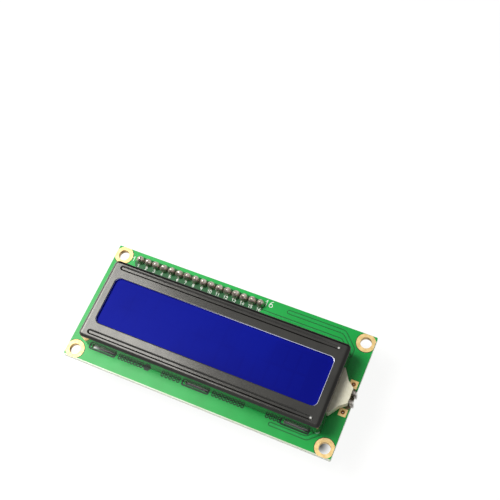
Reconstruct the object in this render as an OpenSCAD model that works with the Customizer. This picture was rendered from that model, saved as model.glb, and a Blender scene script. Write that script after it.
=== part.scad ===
// Character display module: a framed glass display on a green board, with a small
// black adapter board carried behind it on the display's own pin row.
// The origin is the centre of the four mounting holes, on the board's front face.
// +Z points out of the display, +Y towards the pin row, +X to the display's right.

/* [Main board] */
// Length of the main board
board_w = 80; // [80:0.5:90]
// Height of the main board
board_h = 36; // [36:0.5:44]
// Thickness of the main board
board_t = 1.6; // [1:0.1:2.4]
// Diameter of the small plated through holes
via_d = 0.8; // [0.5:0.1:1.2]
// Thickness of bare copper and gold lands
land_t = 0.05; // [0.03:0.01:0.1]

/* [Mounting holes] */
// Distance of a mounting hole's centre from the board's edges
hole_inset = 2.5; // [2.5:0.1:3.2]
// Clear diameter of a mounting hole
hole_d = 3.2; // [2.4:0.1:3.6]
// Width of the gold ring around a mounting hole
hole_ring = 1.1; // [0.6:0.1:1.3]

/* [Bezel] */
// Bare board left of the bezel
bezel_left = 3.9; // [3.5:0.1:4.4]
// Bare board right of the bezel
bezel_right = 4.9; // [4.4:0.1:5.4]
// Bare board above the bezel
bezel_above = 6.7; // [6.4:0.1:7]
// Bare board below the bezel
bezel_below = 5.1; // [4.8:0.1:5.6]
// Thickness of the bezel's steel
sheet_t = 0.5; // [0.3:0.05:0.6]
// Outer radius of the fold round the bezel's face
fold_r = 0.9; // [0.7:0.1:1.2]
// Corner radius of the bezel seen from the front
corner_r = 1.3; // [1.3:0.1:2]
// Width of the bezel's face beside the window
window_side = 2.9; // [2.6:0.1:5]
// Width of the bezel's face above and below the window
window_edge = 5; // [4.8:0.1:6]
// Corner radius of the window
window_r = 1.5; // [0.8:0.1:3]
// Radius of the rolled upper edge of the window
lip_r = 0.3; // [0.1:0.05:0.3]
// From the bezel's end to the end of a stiffening bead
bead_inset = 2.3; // [2.1:0.1:8]
// Width of each stiffening bead
bead_w = 1.4; // [1.2:0.1:1.8]
// Depth of each stiffening bead
bead_depth = 0.4; // [0.2:0.05:0.5]

/* [Bezel tabs] */
// Tabs along each long side
tab_count = 3; // [2:1:3]
// From the bezel's end to the middle of its outer tabs
tab_inset = 6.5; // [6:0.1:8]
// Length of a tab's locking arm
tab_arm = 7; // [5:0.1:7.2]
// Width of the neck that passes through the board
tab_neck = 2; // [1.2:0.1:2.2]
// How far a locking arm stands off the back of the board
tab_reach = 1.6; // [1:0.1:1.7]
// Angle that the arm is twisted by to lock the bezel
tab_twist = 28; // [15:1:30]
// Play of a tab's arm along its slot, at both ends together
slot_play = 0.4; // [0.3:0.05:0.8]
// Width of the board slot
slot_gap = 1.5; // [1.5:0.1:1.8]
// Depth of the bare land beside a slot
tab_land_h = 4.4; // [3.6:0.1:4.6]

/* [Display cell] */
// Play between the glass and the bezel at each end
glass_play_x = 0.4; // [0.3:0.05:0.8]
// Play between the front glass and the bezel above and below
glass_play_y = 0.3; // [0.2:0.05:0.6]
// How far the front glass overhangs the rear glass above and below
ledge_w = 2.2; // [2:0.1:2.5]
// Thickness of one glass plate
glass_t = 1.1; // [0.7:0.1:1.2]
// Thickness of a polarizing film
film_t = 0.2; // [0.1:0.05:0.25]
// From the glass's ends to the polarizing films
film_side = 1; // [0.6:0.1:1.4]
// From the rear glass's long edges to the polarizing films
film_edge = 0.7; // [0.4:0.1:1]
// Play on each side of a conductive rubber strip under its ledge
strip_play = 0.2; // [0.1:0.05:0.4]

/* [Backlight] */
// Thickness of the reflector tray under the light guide
tray_t = 0.6; // [0.4:0.1:1]
// Play between the light guide and the bezel at each end
guide_side = 0.8; // [0.5:0.1:1.2]
// How far the light guide stays inside the rear glass's long edges
guide_edge = 0.8; // [0.4:0.1:1.2]
// Thickness of the light guide
guide_t = 2.8; // [1.8:0.1:2.9]
// From the end of the guide's tongue to the board's edge
tongue_inset = 0.9; // [0.7:0.1:1.3]
// Height of the tongue where it leaves the bezel
tongue_root = 13.2; // [10:0.1:14]
// Height of the tongue's end
tongue_tip = 4.4; // [4.2:0.1:6]
// Height of the backlight lamp along the tongue's end
lamp_h = 3.6; // [3.2:0.1:3.8]
// Depth of the backlight lamp
lamp_d = 1.8; // [1.2:0.1:2.4]
// Distance between the lamp's two leads
lead_pitch = 2.6; // [2.3:0.1:2.8]
// Width of a lamp lead
lead_w = 0.6; // [0.4:0.05:0.7]
// Thickness of a lamp lead
lead_t = 0.4; // [0.25:0.05:0.5]

/* [Pin row] */
// Pins in the row
pin_count = 16; // [14:1:16]
// Distance from pin to pin
pin_pitch = 2.54; // [2.5:0.01:2.54]
// Width of a square pin
pin_side = 0.64; // [0.5:0.02:0.7]
// Distance of pin 1 from the main board's left edge
row_start = 8; // [7.9:0.1:9]
// Distance of the pin row from the main board's upper edge
row_inset = 2.5; // [2.1:0.1:2.5]
// Width and height of the row's plastic strip
strip_side = 2.5; // [2.4:0.05:2.5]
// Length of pin beyond the main board's front
pin_front = 2.2; // [1.8:0.1:2.6]
// Length of pin beyond the adapter board
pin_rear = 1.2; // [0.9:0.1:2]
// Radius of a solder joint at the board
joint_r = 1.05; // [0.8:0.05:1.1]
// Height of a solder joint
joint_h = 1.6; // [0.9:0.1:1.7]

/* [Adapter board] */
// Adapter board past the middle of the row's outer pins
adapter_end = 1.7; // [1.6:0.1:2.4]
// Height of the adapter board
adapter_h = 19; // [18.8:0.1:20]
// Thickness of the adapter board
adapter_t = 1.6; // [1:0.1:2]
// Distance of the pin row from the adapter board's upper edge
adapter_edge = 1.7; // [1.4:0.1:1.8]

/* [Expander chip] */
// Width of the chip's moulded body
chip_w = 7.5; // [7:0.1:7.8]
// Length of the chip's moulded body
chip_len = 10.3; // [9.9:0.1:10.8]
// Height of the chip's moulded body
chip_t = 2.3; // [1.8:0.1:2.6]
// Leads along each side of the chip
chip_leads = 8; // [6:1:8]
// Distance from lead to lead
chip_pitch = 1.27; // [1.2:0.01:1.3]
// Width over the chip's leads
chip_span = 10.6; // [10.2:0.1:11]
// Width of one chip lead
chip_lead_w = 0.42; // [0.3:0.02:0.5]

/* [Trimmer] */
// Width of the trimmer's body
trim_w = 6.8; // [6.2:0.1:7]
// Length of the trimmer's body
trim_len = 7.1; // [6.6:0.1:7.4]
// Height of the trimmer's body
trim_t = 4.8; // [4:0.1:5.2]
// Diameter of the trimmer's rotor
rotor_d = 3.2; // [2.8:0.1:3.6]
// Thickness of the rotor's slotted head
rotor_t = 0.9; // [0.7:0.1:1.2]
// Running clearance round the rotor
rotor_gap = 0.08; // [0.04:0.01:0.1]
// Width of the rotor's cross slot
cross_w = 0.6; // [0.4:0.05:0.8]

/* [Angle headers] */
// Reach of the bus header's pins past its plastic
bus_reach = 6; // [5:0.1:6.2]
// Reach of the jumper header's pins past its plastic
link_reach = 4.9; // [4.6:0.1:5.4]
// Length of the jumper cap's plastic
cap_len = 1.9; // [1.5:0.1:2.2]
// Clearance of the jumper cap round its pins
cap_gap = 0.08; // [0.04:0.01:0.12]

/* [Small parts] */
// Length of a chip resistor
chip_r_len = 2; // [1.6:0.1:2.2]
// Width of a chip resistor
chip_r_w = 1.25; // [1:0.05:1.4]
// Height of a chip resistor
chip_r_t = 0.5; // [0.4:0.05:0.7]
// Length of solder beyond each end of a chip part
fillet_len = 0.9; // [0.6:0.05:1]
// Height of the larger epoxy dome
dome_t = 2; // [1.4:0.1:2.1]
// Radius of the epoxy dome over the controller
dome_r_controller = 6.7; // [5.8:0.1:6.8]
// Radius of the epoxy dome over the segment driver
dome_r_driver = 6.1; // [5.4:0.1:6.3]

/* [Hidden] */

$fn = 48;
cut = 0.5;                 // how far a cutting shape runs past the faces it cuts
fit = 0.02;                // gap between pieces that slip over one another
film_gap = 0.05;           // play between stacked pieces of the display
plate_r = 0.3;             // corner radius of both circuit boards
rim = 0.1;                 // bare board kept between a land and the board's edge

hole_r = hole_d / 2;
barrel_r = hole_r + land_t;

// The bezel, its window and its beads
bezel_w = board_w - bezel_left - bezel_right;
bezel_h = board_h - bezel_above - bezel_below;
bezel_x = (bezel_left - bezel_right) / 2;
bezel_y = (bezel_below - bezel_above) / 2;
window_w = bezel_w - 2 * window_side;
window_h = bezel_h - 2 * window_edge;
bead_len = bezel_w - 2 * bead_inset;

// The display's pieces inside the bezel
glass_w = bezel_w - 2 * sheet_t - 2 * glass_play_x;
glass_h = bezel_h - 2 * sheet_t - 2 * glass_play_y;
rear_glass_h = glass_h - 2 * ledge_w;
film_w = glass_w - 2 * film_side;
film_h = rear_glass_h - 2 * film_edge;
guide_w = bezel_w - 2 * sheet_t - 2 * guide_side;
guide_h = rear_glass_h - 2 * guide_edge;
strip_w = ledge_w - 2 * strip_play;
bead_y = (glass_h + rear_glass_h) / 4;

// The stack under the bezel's face, from the board up, which sets how far the bezel stands off
guide_z = tray_t;
stack_z = guide_z + guide_t + film_t + film_gap;
rear_glass_z = stack_z + film_t;
cell_z = rear_glass_z + glass_t;
glass_top = cell_z + glass_t;
bezel_rise = glass_top + film_gap + bead_depth + sheet_t;

// The light guide's tongue
tongue_end = board_w / 2 - tongue_inset;
tongue_reach = tongue_end - bezel_x - bezel_w / 2;
tongue_land = 0.2;         // straight part of the tongue before it tapers
tongue_bend = [0.55, 0.16]; // where the taper bends, as shares of its length and its depth

// Slots, tabs and their lands
slot_y = bezel_h / 2 - sheet_t / 2;
slot_len = tab_arm + slot_play;
tab_pitch = (bezel_w - 2 * tab_inset) / (tab_count - 1);
slot_r = 0.3;
slot_margin = 0.3;         // bare land left round a slot
land_inset = 0.1;          // how far a tab's land stops short of its slot's ends
neck_inset = 0.4;          // from the arm's end to its neck
neck_x = tab_arm / 2 - tab_neck / 2 - neck_inset;
twist_steps = 7;           // slices that make up the twisted part of a neck
twist_share = 0.6;         // share of the board's thickness that the neck twists over
step_lap = 0.04;           // how far one slice runs into the next

// The pin row and the gap it sets between the boards
row_w = (pin_count - 1) * pin_pitch;
row_x = -board_w / 2 + row_start + row_w / 2;
row_y = board_h / 2 - row_inset;
adapter_z = -board_t - strip_side;
pin_hole_d = pin_side * sqrt(2) + 0.1;
cone_top = 0.48;           // a solder cone's upper radius as a share of its base
rear_joint_h = 0.9;

// The adapter board's corner that its own parts are measured from
adapter_w = row_w + 2 * adapter_end;
adapter_x1 = row_x + adapter_w / 2;
adapter_y0 = row_y + adapter_edge - adapter_h;
row_v = adapter_h - adapter_edge;

// Places on the adapter board: along it from its jumper end, and up from its lower edge
link_at = [1.3, 11.2];
bus_at = [adapter_w - 3.6, 9.6];
trim_at = [adapter_w - 9.4, 11.1];
chip_at = [21.4, 9.7];
transistor_at = [5.9, 11.6];
lamp_at = [4.8, 6.2];
capacitor_at = [12.2, 11.6];
upright_resistors = [[9.7, 11.6], [7.4, 6.2], [9.9, 6.2], [12.4, 6.2]];
level_resistors = [[11.4, 2.1], [15.9, 2.1], [20.6, 2.1]];
address_at = [[30.5, 2.9], [33, 2.9], [35.4, 2.9]];
address_pitch = 1.5;
address_pad = [1.1, 0.9];

// Places on the back of the main board, seen from behind, with the lamp's end at the left
lamp_end = -board_w / 2;
row_end = board_w / 2;
controller_at = [row_end - 26.8, -1.4];
driver_at = [lamp_end + 27.1, 0.2];
link_pad_r = 1.1;
eight_span = 3;            // from the empty chip's centre line to a column of its lands
eight_pitch = 1.35;
eight_pad = [2.1, 0.6];
capacitor_pad = [1.9, 2.2];
spare_pad = [1.7, 1.6];

// The lands of the empty footprints stand in rows between the lower and the upper tab lands,
// and the gaps between the rows are shares of the height that is left
slot_rim = slot_gap / 2 + slot_margin;
low_land_y = bezel_y - slot_y - slot_rim + tab_land_h;
high_land_y = bezel_y + slot_y + slot_rim - tab_land_h;
eight_h = 3 * eight_pitch + eight_pad[1];
spare_h = high_land_y - low_land_y - 2 * capacitor_pad[1] - eight_h - 2 * link_pad_r;
gap_shares = [0.296, 0.244, 0.169, 0.082];
capacitor_y1 = low_land_y + gap_shares[0] * spare_h + capacitor_pad[1] / 2;
capacitor_y2 = capacitor_y1 + gap_shares[1] * spare_h + capacitor_pad[1];
eight_y = capacitor_y2 + gap_shares[2] * spare_h + (capacitor_pad[1] + eight_h) / 2;
link_y = eight_y + gap_shares[3] * spare_h + eight_h / 2 + link_pad_r;
eight_pad_at = [lamp_end + 11.05, eight_y];
link_lands = [[lamp_end + 8.3, link_y], [lamp_end + 10.85, link_y], [lamp_end + 13.4, link_y]];
capacitor_lands = [
    [lamp_end + 8.9, capacitor_y2], [lamp_end + 12.6, capacitor_y2],
    [lamp_end + 8.9, capacitor_y1], [lamp_end + 12.6, capacitor_y1]
];
spare_lands = [[row_end - 17.9, low_land_y + 2.4], [row_end - 15.5, low_land_y + 2.4]];
rear_resistors = [
    [lamp_end + 20.8, board_h / 2 - 5.6], [row_end - 16.8, low_land_y + 4.7],
    [row_end - 8.4, low_land_y + 6.5], [row_end - 8.4, low_land_y + 4.3],
    [row_end - 8.4, low_land_y + 2.2]
];
via_ring = 0.55;           // width of the land round a lamp via
lamp_vias = [[lamp_end + 4, bezel_y + 1.5], [lamp_end + 4, bezel_y - 1.1]];
lamp_test_y = 4.1;
lamp_test_inset = 1.5;
test_land_w = 2.2;
test_hole_at = [15.8, -12.9];
driver_dome_t = 1.9;
link_joint = [1, 0.45];    // radius and height of the solder on a link land

// Lead frame of the lamp at the board's right edge
lead_x = board_w / 2 + film_gap;
lamp_z = guide_z + guide_t / 2;
lamp_wall = 0.3;           // guide left above and below the lamp
lamp_t = guide_t - 2 * lamp_wall;

// Angle header geometry shared by the jumper and the bus
bend_gap = 0.7;
pin_mid = strip_side / 2;
tail_out = 0.6;
tail_joint_h = 0.45;
tail_joint_r = 0.8;
link_out = bend_gap + strip_side;
clip_t = 0.2;
clip_reach = 1.2;          // how far the contact shows past the cap's plastic
clip_plate = 0.9;          // length of the plate that joins its sleeves
web_past = 0.3;            // how far the plastic web runs past the sleeves
cap_start = link_out + 0.1;
clip_inner = pin_side + 2 * cap_gap;
clip_outer = clip_inner + 2 * clip_t;

// Trimmer: feet, spindle and pins
trim_r = 0.4;
foot_w = 1;
foot_t = 0.3;
cross_depth = 0.54;
cross_end = 0.22;          // from the end of the cross slot to the rotor's edge
spindle_d = 1.4;
spindle_len = 1.6;
trim_pin_d = 0.6;
trim_hole_gap = 0.2;
trim_pitch = 2.54;
trim_pins = [[0, trim_pitch], [-trim_pitch, -trim_pitch], [trim_pitch, -trim_pitch]];

// Lamp lead lands, and the power lamp's length, width and height
lead_land_w = 2.2;
lead_land_h = 1.8;
loaf_h = 0.75;             // height of the solder along a lead
loaf_inset = 0.2;          // from the end of a lead's land to its solder
lead_bead_r = 0.6;         // radius of the solder where a lead leaves the lamp
lamp_chip = [2.6, 1.4, 0.9];
lamp_base = 0.36;          // height of the power lamp's base
lens_len = 1.7;            // length of its lens

// Metal ends of the chip parts: how far they reach over the top, and their thickness
end_wrap = 0.4;
end_face = 0.15;

// Chip packages
chip_stand = 0.15;
chip_draft = 0.25;
transistor_body_size = [1.4, 2.9, 0.95];
transistor_stand = 0.1;
transistor_pitch = 1.9;
transistor_lead = [0.6, 0.4, 0.15];
chip_lead_t = 0.25;
chip_mark = [1.2, 0.5, 0.1]; // pin 1 recess: distance from the edges, radius, depth
chip_land = [2.2, 0.65, 0.35]; // a lead's land: length, width and how far it runs past the foot

// ---- placing ----

// Stands children on the back of the main board, +Z away from it
module on_rear() {
    translate([0, 0, -board_t]) rotate([0, 180, 0]) children();
}

// Stands children on the adapter board's outer face, from its jumper end and lower edge
module on_adapter(at = [0, 0]) {
    translate([adapter_x1, adapter_y0, adapter_z - adapter_t])
        rotate([0, 180, 0]) translate([at[0], at[1], 0]) children();
}

// Moves children to the bezel's centre
module at_bezel() {
    translate([bezel_x, bezel_y, 0]) children();
}

// Puts children at each mounting hole
module at_holes() {
    for (sx = [-1, 1], sy = [-1, 1])
        translate([sx * (board_w / 2 - hole_inset), sy * (board_h / 2 - hole_inset), 0]) children();
}

// Puts children at each pin of the row
module at_row() {
    for (i = [0 : pin_count - 1])
        translate([row_x - row_w / 2 + i * pin_pitch, row_y, 0]) children();
}

// Puts children at each tab, turned half round on the upper side
module at_tabs() {
    for (i = [0 : tab_count - 1], s = [-1, 1])
        translate([bezel_x + (i - (tab_count - 1) / 2) * tab_pitch, bezel_y + s * slot_y, 0])
            rotate([0, 0, s > 0 ? 180 : 0]) children();
}

// ---- shared shapes ----

module round_rect(w, h, r) {
    square([w - 2 * r, h], center = true);
    square([w, h - 2 * r], center = true);
    for (sx = [-1, 1], sy = [-1, 1])
        translate([sx * (w / 2 - r), sy * (h / 2 - r)]) circle(r);
}

module bar(w, h, t) {
    translate([-w / 2, -h / 2, 0]) cube([w, h, t]);
}

// One square pin along Z, from z0 to z1, with both ends cut to blunt points
module square_pin(z0, z1) {
    half = pin_side / 2;
    point = pin_side / 3;
    module side() {
        polygon([
            [-half, z0 + point], [-half / 2, z0], [half / 2, z0], [half, z0 + point],
            [half, z1 - point], [half / 2, z1], [-half / 2, z1], [-half, z1 - point]
        ]);
    }
    intersection() {
        translate([0, half, 0]) rotate([90, 0, 0]) linear_extrude(pin_side) side();
        translate([-half, 0, 0]) rotate([90, 0, 90]) linear_extrude(pin_side) side();
    }
}

// A solder joint's hollow cone, round a pin of width w
module solder_cone(base_r, h, w = pin_side, round_pin = false) {
    top_r = base_r * cone_top;
    d = base_r - top_r;
    sweep_r = (d * d + h * h) / (2 * d);
    difference() {
        rotate_extrude($fn = 32) difference() {
            square([base_r, h]);
            translate([top_r + sweep_r, h]) circle(sweep_r);
        }
        translate([0, 0, -cut]) {
            if (round_pin) cylinder(h = h + 2 * cut, d = w, $fn = 24);
            else bar(w, w, h + 2 * cut);
        }
    }
}

// A strip of header plastic: one chamfered block per pin, with a square hole through each
module header_plastic(n) {
    side = strip_side / 2;
    chamfer = strip_side / 5;
    half = pin_pitch / 2;
    difference() {
        linear_extrude(strip_side) for (i = [0 : n - 1])
            translate([(i - (n - 1) / 2) * pin_pitch, 0]) polygon([
                [-half, side - chamfer], [-half + chamfer, side],
                [half - chamfer, side], [half, side - chamfer],
                [half, chamfer - side], [half - chamfer, -side],
                [chamfer - half, -side], [-half, chamfer - side]
            ]);
        for (i = [0 : n - 1])
            translate([(i - (n - 1) / 2) * pin_pitch, 0, -cut])
                bar(pin_side, pin_side, strip_side + 2 * cut);
    }
}

// A right-angle pin: down through the adapter board, then out along local X
module angle_pin(out) {
    half = pin_side / 2;
    translate([0, 0, -adapter_t - tail_out])
        bar(pin_side, pin_side, adapter_t + tail_out + pin_mid + half);
    translate([0, 0, pin_mid]) rotate([0, 90, 0]) intersection() {
        square_pin(-pin_side, out);
        translate([0, 0, -half]) bar(pin_side, pin_side, out + pin_side);
    }
}

// Both metal ends of a chip part with their solder, long side along X
module chip_ends(len, w, t) {
    for (turn = [0, 180]) rotate([0, 0, turn]) {
        translate([len / 2, w / 2, 0]) rotate([90, 0, 0]) linear_extrude(w)
            polygon([
                [0, 0], [0, t + land_t], [end_face, t + land_t],
                [fillet_len, end_face], [fillet_len, 0]
            ]);
        translate([len / 2 - end_wrap, -w / 2, t]) cube([end_wrap + end_face, w, land_t]);
    }
}

// A spherical cap of base radius r and height h
module dome(r, h) {
    sphere_r = (r * r + h * h) / (2 * h);
    intersection() {
        translate([0, 0, h - sphere_r]) sphere(sphere_r, $fn = 96);
        cylinder(h = h + cut, r = r + cut);
    }
}

// ---- main board ----

module main_board() {
    color("seagreen") difference() {
        translate([0, 0, -board_t]) linear_extrude(board_t) round_rect(board_w, board_h, plate_r);
        translate([0, 0, -board_t - cut]) {
            at_holes() cylinder(h = board_t + 2 * cut, r = barrel_r + fit);
            at_row() cylinder(h = board_t + 2 * cut, d = pin_hole_d, $fn = 24);
            at_tabs() linear_extrude(board_t + 2 * cut) round_rect(slot_len, slot_gap, slot_r);
        }
        on_rear() translate([0, 0, -board_t - cut]) {
            for (s = [-1, 1]) translate([lamp_test_inset - board_w / 2, bezel_y + s * lamp_test_y, 0])
                cylinder(h = board_t + 2 * cut, d = via_d, $fn = 24);
            for (p = concat(lamp_vias, [test_hole_at]))
                translate([p[0], p[1], 0]) cylinder(h = board_t + 2 * cut, d = via_d, $fn = 24);
        }
    }
}

// The gold-plated barrels and rings that line the four mounting holes
module mounting_rings() {
    color("goldenrod") intersection() {
        at_holes() difference() {
            union() {
                cylinder(h = land_t, r = hole_r + hole_ring);
                translate([0, 0, -board_t - land_t]) cylinder(h = land_t, r = hole_r + hole_ring);
                translate([0, 0, -board_t - land_t]) cylinder(h = board_t + 2 * land_t, r = barrel_r);
            }
            translate([0, 0, -board_t - cut]) cylinder(h = board_t + 2 * cut, r = hole_r);
        }
        translate([0, 0, -board_t - cut]) bar(board_w - rim, board_h - rim, board_t + 2 * cut);
    }
}

// Square plated lands at the lamp's test holes, and the lands that its leads are soldered to
module backlight_lands() {
    color("gold") on_rear() {
        for (s = [-1, 1], z = [0, -board_t - land_t])
            translate([lamp_test_inset - board_w / 2, bezel_y + s * lamp_test_y, z]) difference() {
                bar(test_land_w, test_land_w, land_t);
                translate([0, 0, -cut]) cylinder(h = 2 * cut, d = via_d, $fn = 24);
            }
        for (s = [-1, 1])
            translate([lead_land_w / 2 + rim - board_w / 2, bezel_y + s * lead_pitch / 2, 0])
                bar(lead_land_w, lead_land_h, land_t);
    }
}

// Bare gold lands round the tab slots, on the back of the board
module tab_lands() {
    color("peru") at_tabs() translate([0, 0, -board_t - land_t]) linear_extrude(land_t)
        difference() {
            translate([land_inset - slot_len / 2, -slot_rim])
                square([slot_len - 2 * land_inset, tab_land_h]);
            round_rect(slot_len, slot_gap, slot_r);
        }
}

// Lands of the footprints that are left empty, on the back of the board
module bare_lands() {
    color("darkgoldenrod") on_rear() {
        for (s = [-1, 1], i = [-1.5 : 1.5])
            translate([eight_pad_at[0] + s * eight_span, eight_pad_at[1] + i * eight_pitch, 0])
                bar(eight_pad[0], eight_pad[1], land_t);
        for (p = capacitor_lands) translate([p[0], p[1], 0])
            bar(capacitor_pad[0], capacitor_pad[1], land_t);
        for (p = spare_lands) translate([p[0], p[1], 0]) bar(spare_pad[0], spare_pad[1], land_t);
        for (p = link_lands) translate([p[0], p[1], 0]) cylinder(h = land_t, r = link_pad_r);
        for (p = lamp_vias) translate([p[0], p[1], 0]) difference() {
            cylinder(h = land_t, r = via_d / 2 + via_ring);
            translate([0, 0, -cut]) cylinder(h = 2 * cut, d = via_d, $fn = 24);
        }
    }
}

// ---- bezel ----

// Section of the bezel's fold, x outward from the corner's centre
module fold_section() {
    module outline(r, top, fold) {
        square([r, top - fold]);
        square([r - fold, top]);
        translate([r - fold, top - fold]) circle(fold);
    }
    intersection() {
        difference() {
            outline(corner_r, bezel_rise, fold_r);
            outline(corner_r - sheet_t, bezel_rise - sheet_t, fold_r - sheet_t);
        }
        square([corner_r, bezel_rise]);
    }
}

// The folded sheet before its window and beads are pressed
module sheet_shell() {
    flat_w = bezel_w - 2 * corner_r;
    flat_h = bezel_h - 2 * corner_r;
    translate([0, 0, bezel_rise - sheet_t]) bar(flat_w, flat_h, sheet_t);
    for (side = [[0, flat_w, flat_h], [90, flat_h, flat_w], [180, flat_w, flat_h], [270, flat_h, flat_w]])
        rotate([0, 0, side[0]]) {
            translate([-side[1] / 2, -side[2] / 2, 0]) rotate([0, 0, 180]) rotate_extrude(angle = 90)
                fold_section();
            translate([side[1] / 2, -side[2] / 2, 0]) rotate([90, 0, -90])
                linear_extrude(side[1]) fold_section();
        }
}

// A long trapezoid bar with cone ends, w wide at z = 0 and narrower below
module bead_form(w, depth) {
    straight = bead_len - bead_w;
    rotate([90, 0, 90]) translate([0, 0, -straight / 2]) linear_extrude(straight)
        polygon([[-w / 2, 0], [w / 2, 0], [w / 2 - depth, -depth], [depth - w / 2, -depth]]);
    for (s = [-1, 1]) translate([s * straight / 2, 0, -depth])
        cylinder(h = depth, r1 = w / 2 - depth, r2 = w / 2, $fn = 32);
}

// What the rolled upper edge of the window takes off the sheet
module window_roll() {
    module section() {
        difference() {
            translate([0, -lip_r]) square([lip_r, lip_r + cut]);
            translate([lip_r, -lip_r]) circle(lip_r);
        }
    }
    flat_w = window_w - 2 * window_r;
    flat_h = window_h - 2 * window_r;
    for (side = [[0, flat_w, flat_h], [90, flat_h, flat_w], [180, flat_w, flat_h], [270, flat_h, flat_w]])
        rotate([0, 0, side[0]]) {
            translate([-side[1] / 2, -side[2] / 2, 0]) rotate([0, 0, 180]) rotate_extrude(angle = 90)
                translate([window_r, 0]) section();
            translate([side[1] / 2, -side[2] / 2 - window_r, 0]) rotate([90, 0, -90])
                linear_extrude(side[1]) section();
        }
}

// One locking tab: a neck that twists in its slot, and the arm it turns over the back
module locking_tab() {
    bottom = -board_t - land_t;
    step_h = board_t * twist_share / twist_steps;
    straight_z = bottom + board_t * twist_share - step_lap;
    translate([neck_x, 0, 0]) {
        translate([0, 0, straight_z]) bar(tab_neck, sheet_t, sheet_t - straight_z);
        for (i = [0 : twist_steps - 1]) translate([0, 0, bottom + i * step_h - step_lap])
            rotate([0, 0, -tab_twist * (1 - i / twist_steps)])
                bar(tab_neck, sheet_t, step_h + step_lap);
        translate([0, 0, bottom - tab_reach]) rotate([0, 0, -tab_twist])
            translate([-neck_x, 0, 0]) bar(tab_arm, sheet_t, tab_reach);
    }
}

module bezel() {
    pressed = bead_w + 2 * sheet_t * (sqrt(2) - 1);
    color("dimgray") {
        at_bezel() difference() {
            union() {
                sheet_shell();
                for (s = [-1, 1]) translate([0, s * bead_y, bezel_rise - sheet_t])
                    bead_form(pressed, bead_depth);
            }
            for (s = [-1, 1]) translate([0, s * bead_y, bezel_rise]) bead_form(bead_w, bead_depth);
            translate([0, 0, bezel_rise - sheet_t - cut])
                linear_extrude(sheet_t + 2 * cut) round_rect(window_w, window_h, window_r);
            translate([0, 0, bezel_rise]) window_roll();
            translate([bezel_w / 2 - sheet_t - cut, -tongue_root / 2 - film_gap, -cut])
                cube([sheet_t + 2 * cut, tongue_root + 2 * film_gap, guide_z + guide_t + film_gap + cut]);
        }
        at_tabs() locking_tab();
    }
}

// ---- display cell ----

module front_polarizer() {
    color("mediumblue") at_bezel() translate([0, 0, glass_top]) bar(film_w, film_h, film_t);
}

module front_glass() {
    color("lightskyblue") at_bezel() translate([0, 0, cell_z]) bar(glass_w, glass_h, glass_t);
}

module rear_glass() {
    color("lightsteelblue") at_bezel() translate([0, 0, rear_glass_z])
        bar(glass_w, rear_glass_h, glass_t);
}

module rear_polarizer() {
    color("slategray") at_bezel() translate([0, 0, stack_z]) bar(film_w, film_h, film_t);
}

// The striped rubber that joins the front glass's edge to the board, on side s
module contact_strip(s) {
    at_bezel() translate([0, s * bead_y, 0]) bar(glass_w - 2, strip_w, cell_z);
}

module upper_contact_strip() {
    color("pink") contact_strip(1);
}

module lower_contact_strip() {
    color("pink") contact_strip(-1);
}

// ---- backlight ----

// Plan of the light guide: a plate with a tapering tongue on the right
module guide_plan() {
    edge = guide_w / 2;
    root_x = bezel_w / 2 + tongue_land;
    bend_x = bezel_w / 2 + tongue_reach * tongue_bend[0];
    bend_y = tongue_tip / 2 + (tongue_root - tongue_tip) * tongue_bend[1];
    end_x = tongue_end - bezel_x;
    polygon([
        [-edge, guide_h / 2], [edge, guide_h / 2], [edge, tongue_root / 2], [root_x, tongue_root / 2],
        [bend_x, bend_y], [end_x, tongue_tip / 2], [end_x, -tongue_tip / 2],
        [bend_x, -bend_y], [root_x, -tongue_root / 2], [edge, -tongue_root / 2],
        [edge, -guide_h / 2], [-edge, -guide_h / 2]
    ]);
}

module diffuser_film() {
    color("white") at_bezel() translate([0, 0, guide_z + guide_t]) bar(guide_w, guide_h, film_t);
}

module light_guide() {
    color("ivory") difference() {
        at_bezel() translate([0, 0, guide_z]) linear_extrude(guide_t) guide_plan();
        translate([tongue_end - lamp_d - fit, bezel_y - lamp_h / 2 - fit, lamp_z - lamp_t / 2 - fit])
            cube([lamp_d + cut, lamp_h + 2 * fit, lamp_t + 2 * fit]);
    }
}

module reflector_tray() {
    color("whitesmoke") at_bezel() bar(guide_w, guide_h, guide_z);
}

module backlight_lamp() {
    color("lightyellow") translate([tongue_end - lamp_d, bezel_y - lamp_h / 2, lamp_z - lamp_t / 2])
        cube([lamp_d, lamp_h, lamp_t]);
}

// One lamp lead: out over the board's edge, down past it and back under
module lamp_lead() {
    bottom = -board_t - land_t;
    translate([0, lead_w / 2, 0]) rotate([90, 0, 0]) linear_extrude(lead_w) polygon([
        [tongue_end, lamp_z + lead_t / 2], [lead_x + lead_t, lamp_z + lead_t / 2],
        [lead_x + lead_t, bottom - lead_t], [board_w / 2 - lead_land_w, bottom - lead_t],
        [board_w / 2 - lead_land_w, bottom], [lead_x, bottom],
        [lead_x, lamp_z - lead_t / 2], [tongue_end, lamp_z - lead_t / 2]
    ]);
}

// Puts children at each lamp lead
module at_leads() {
    for (s = [-1, 1]) translate([0, bezel_y + s * lead_pitch / 2, 0]) children();
}

module backlight_leads() {
    color("silver") at_leads() lamp_lead();
}

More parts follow.
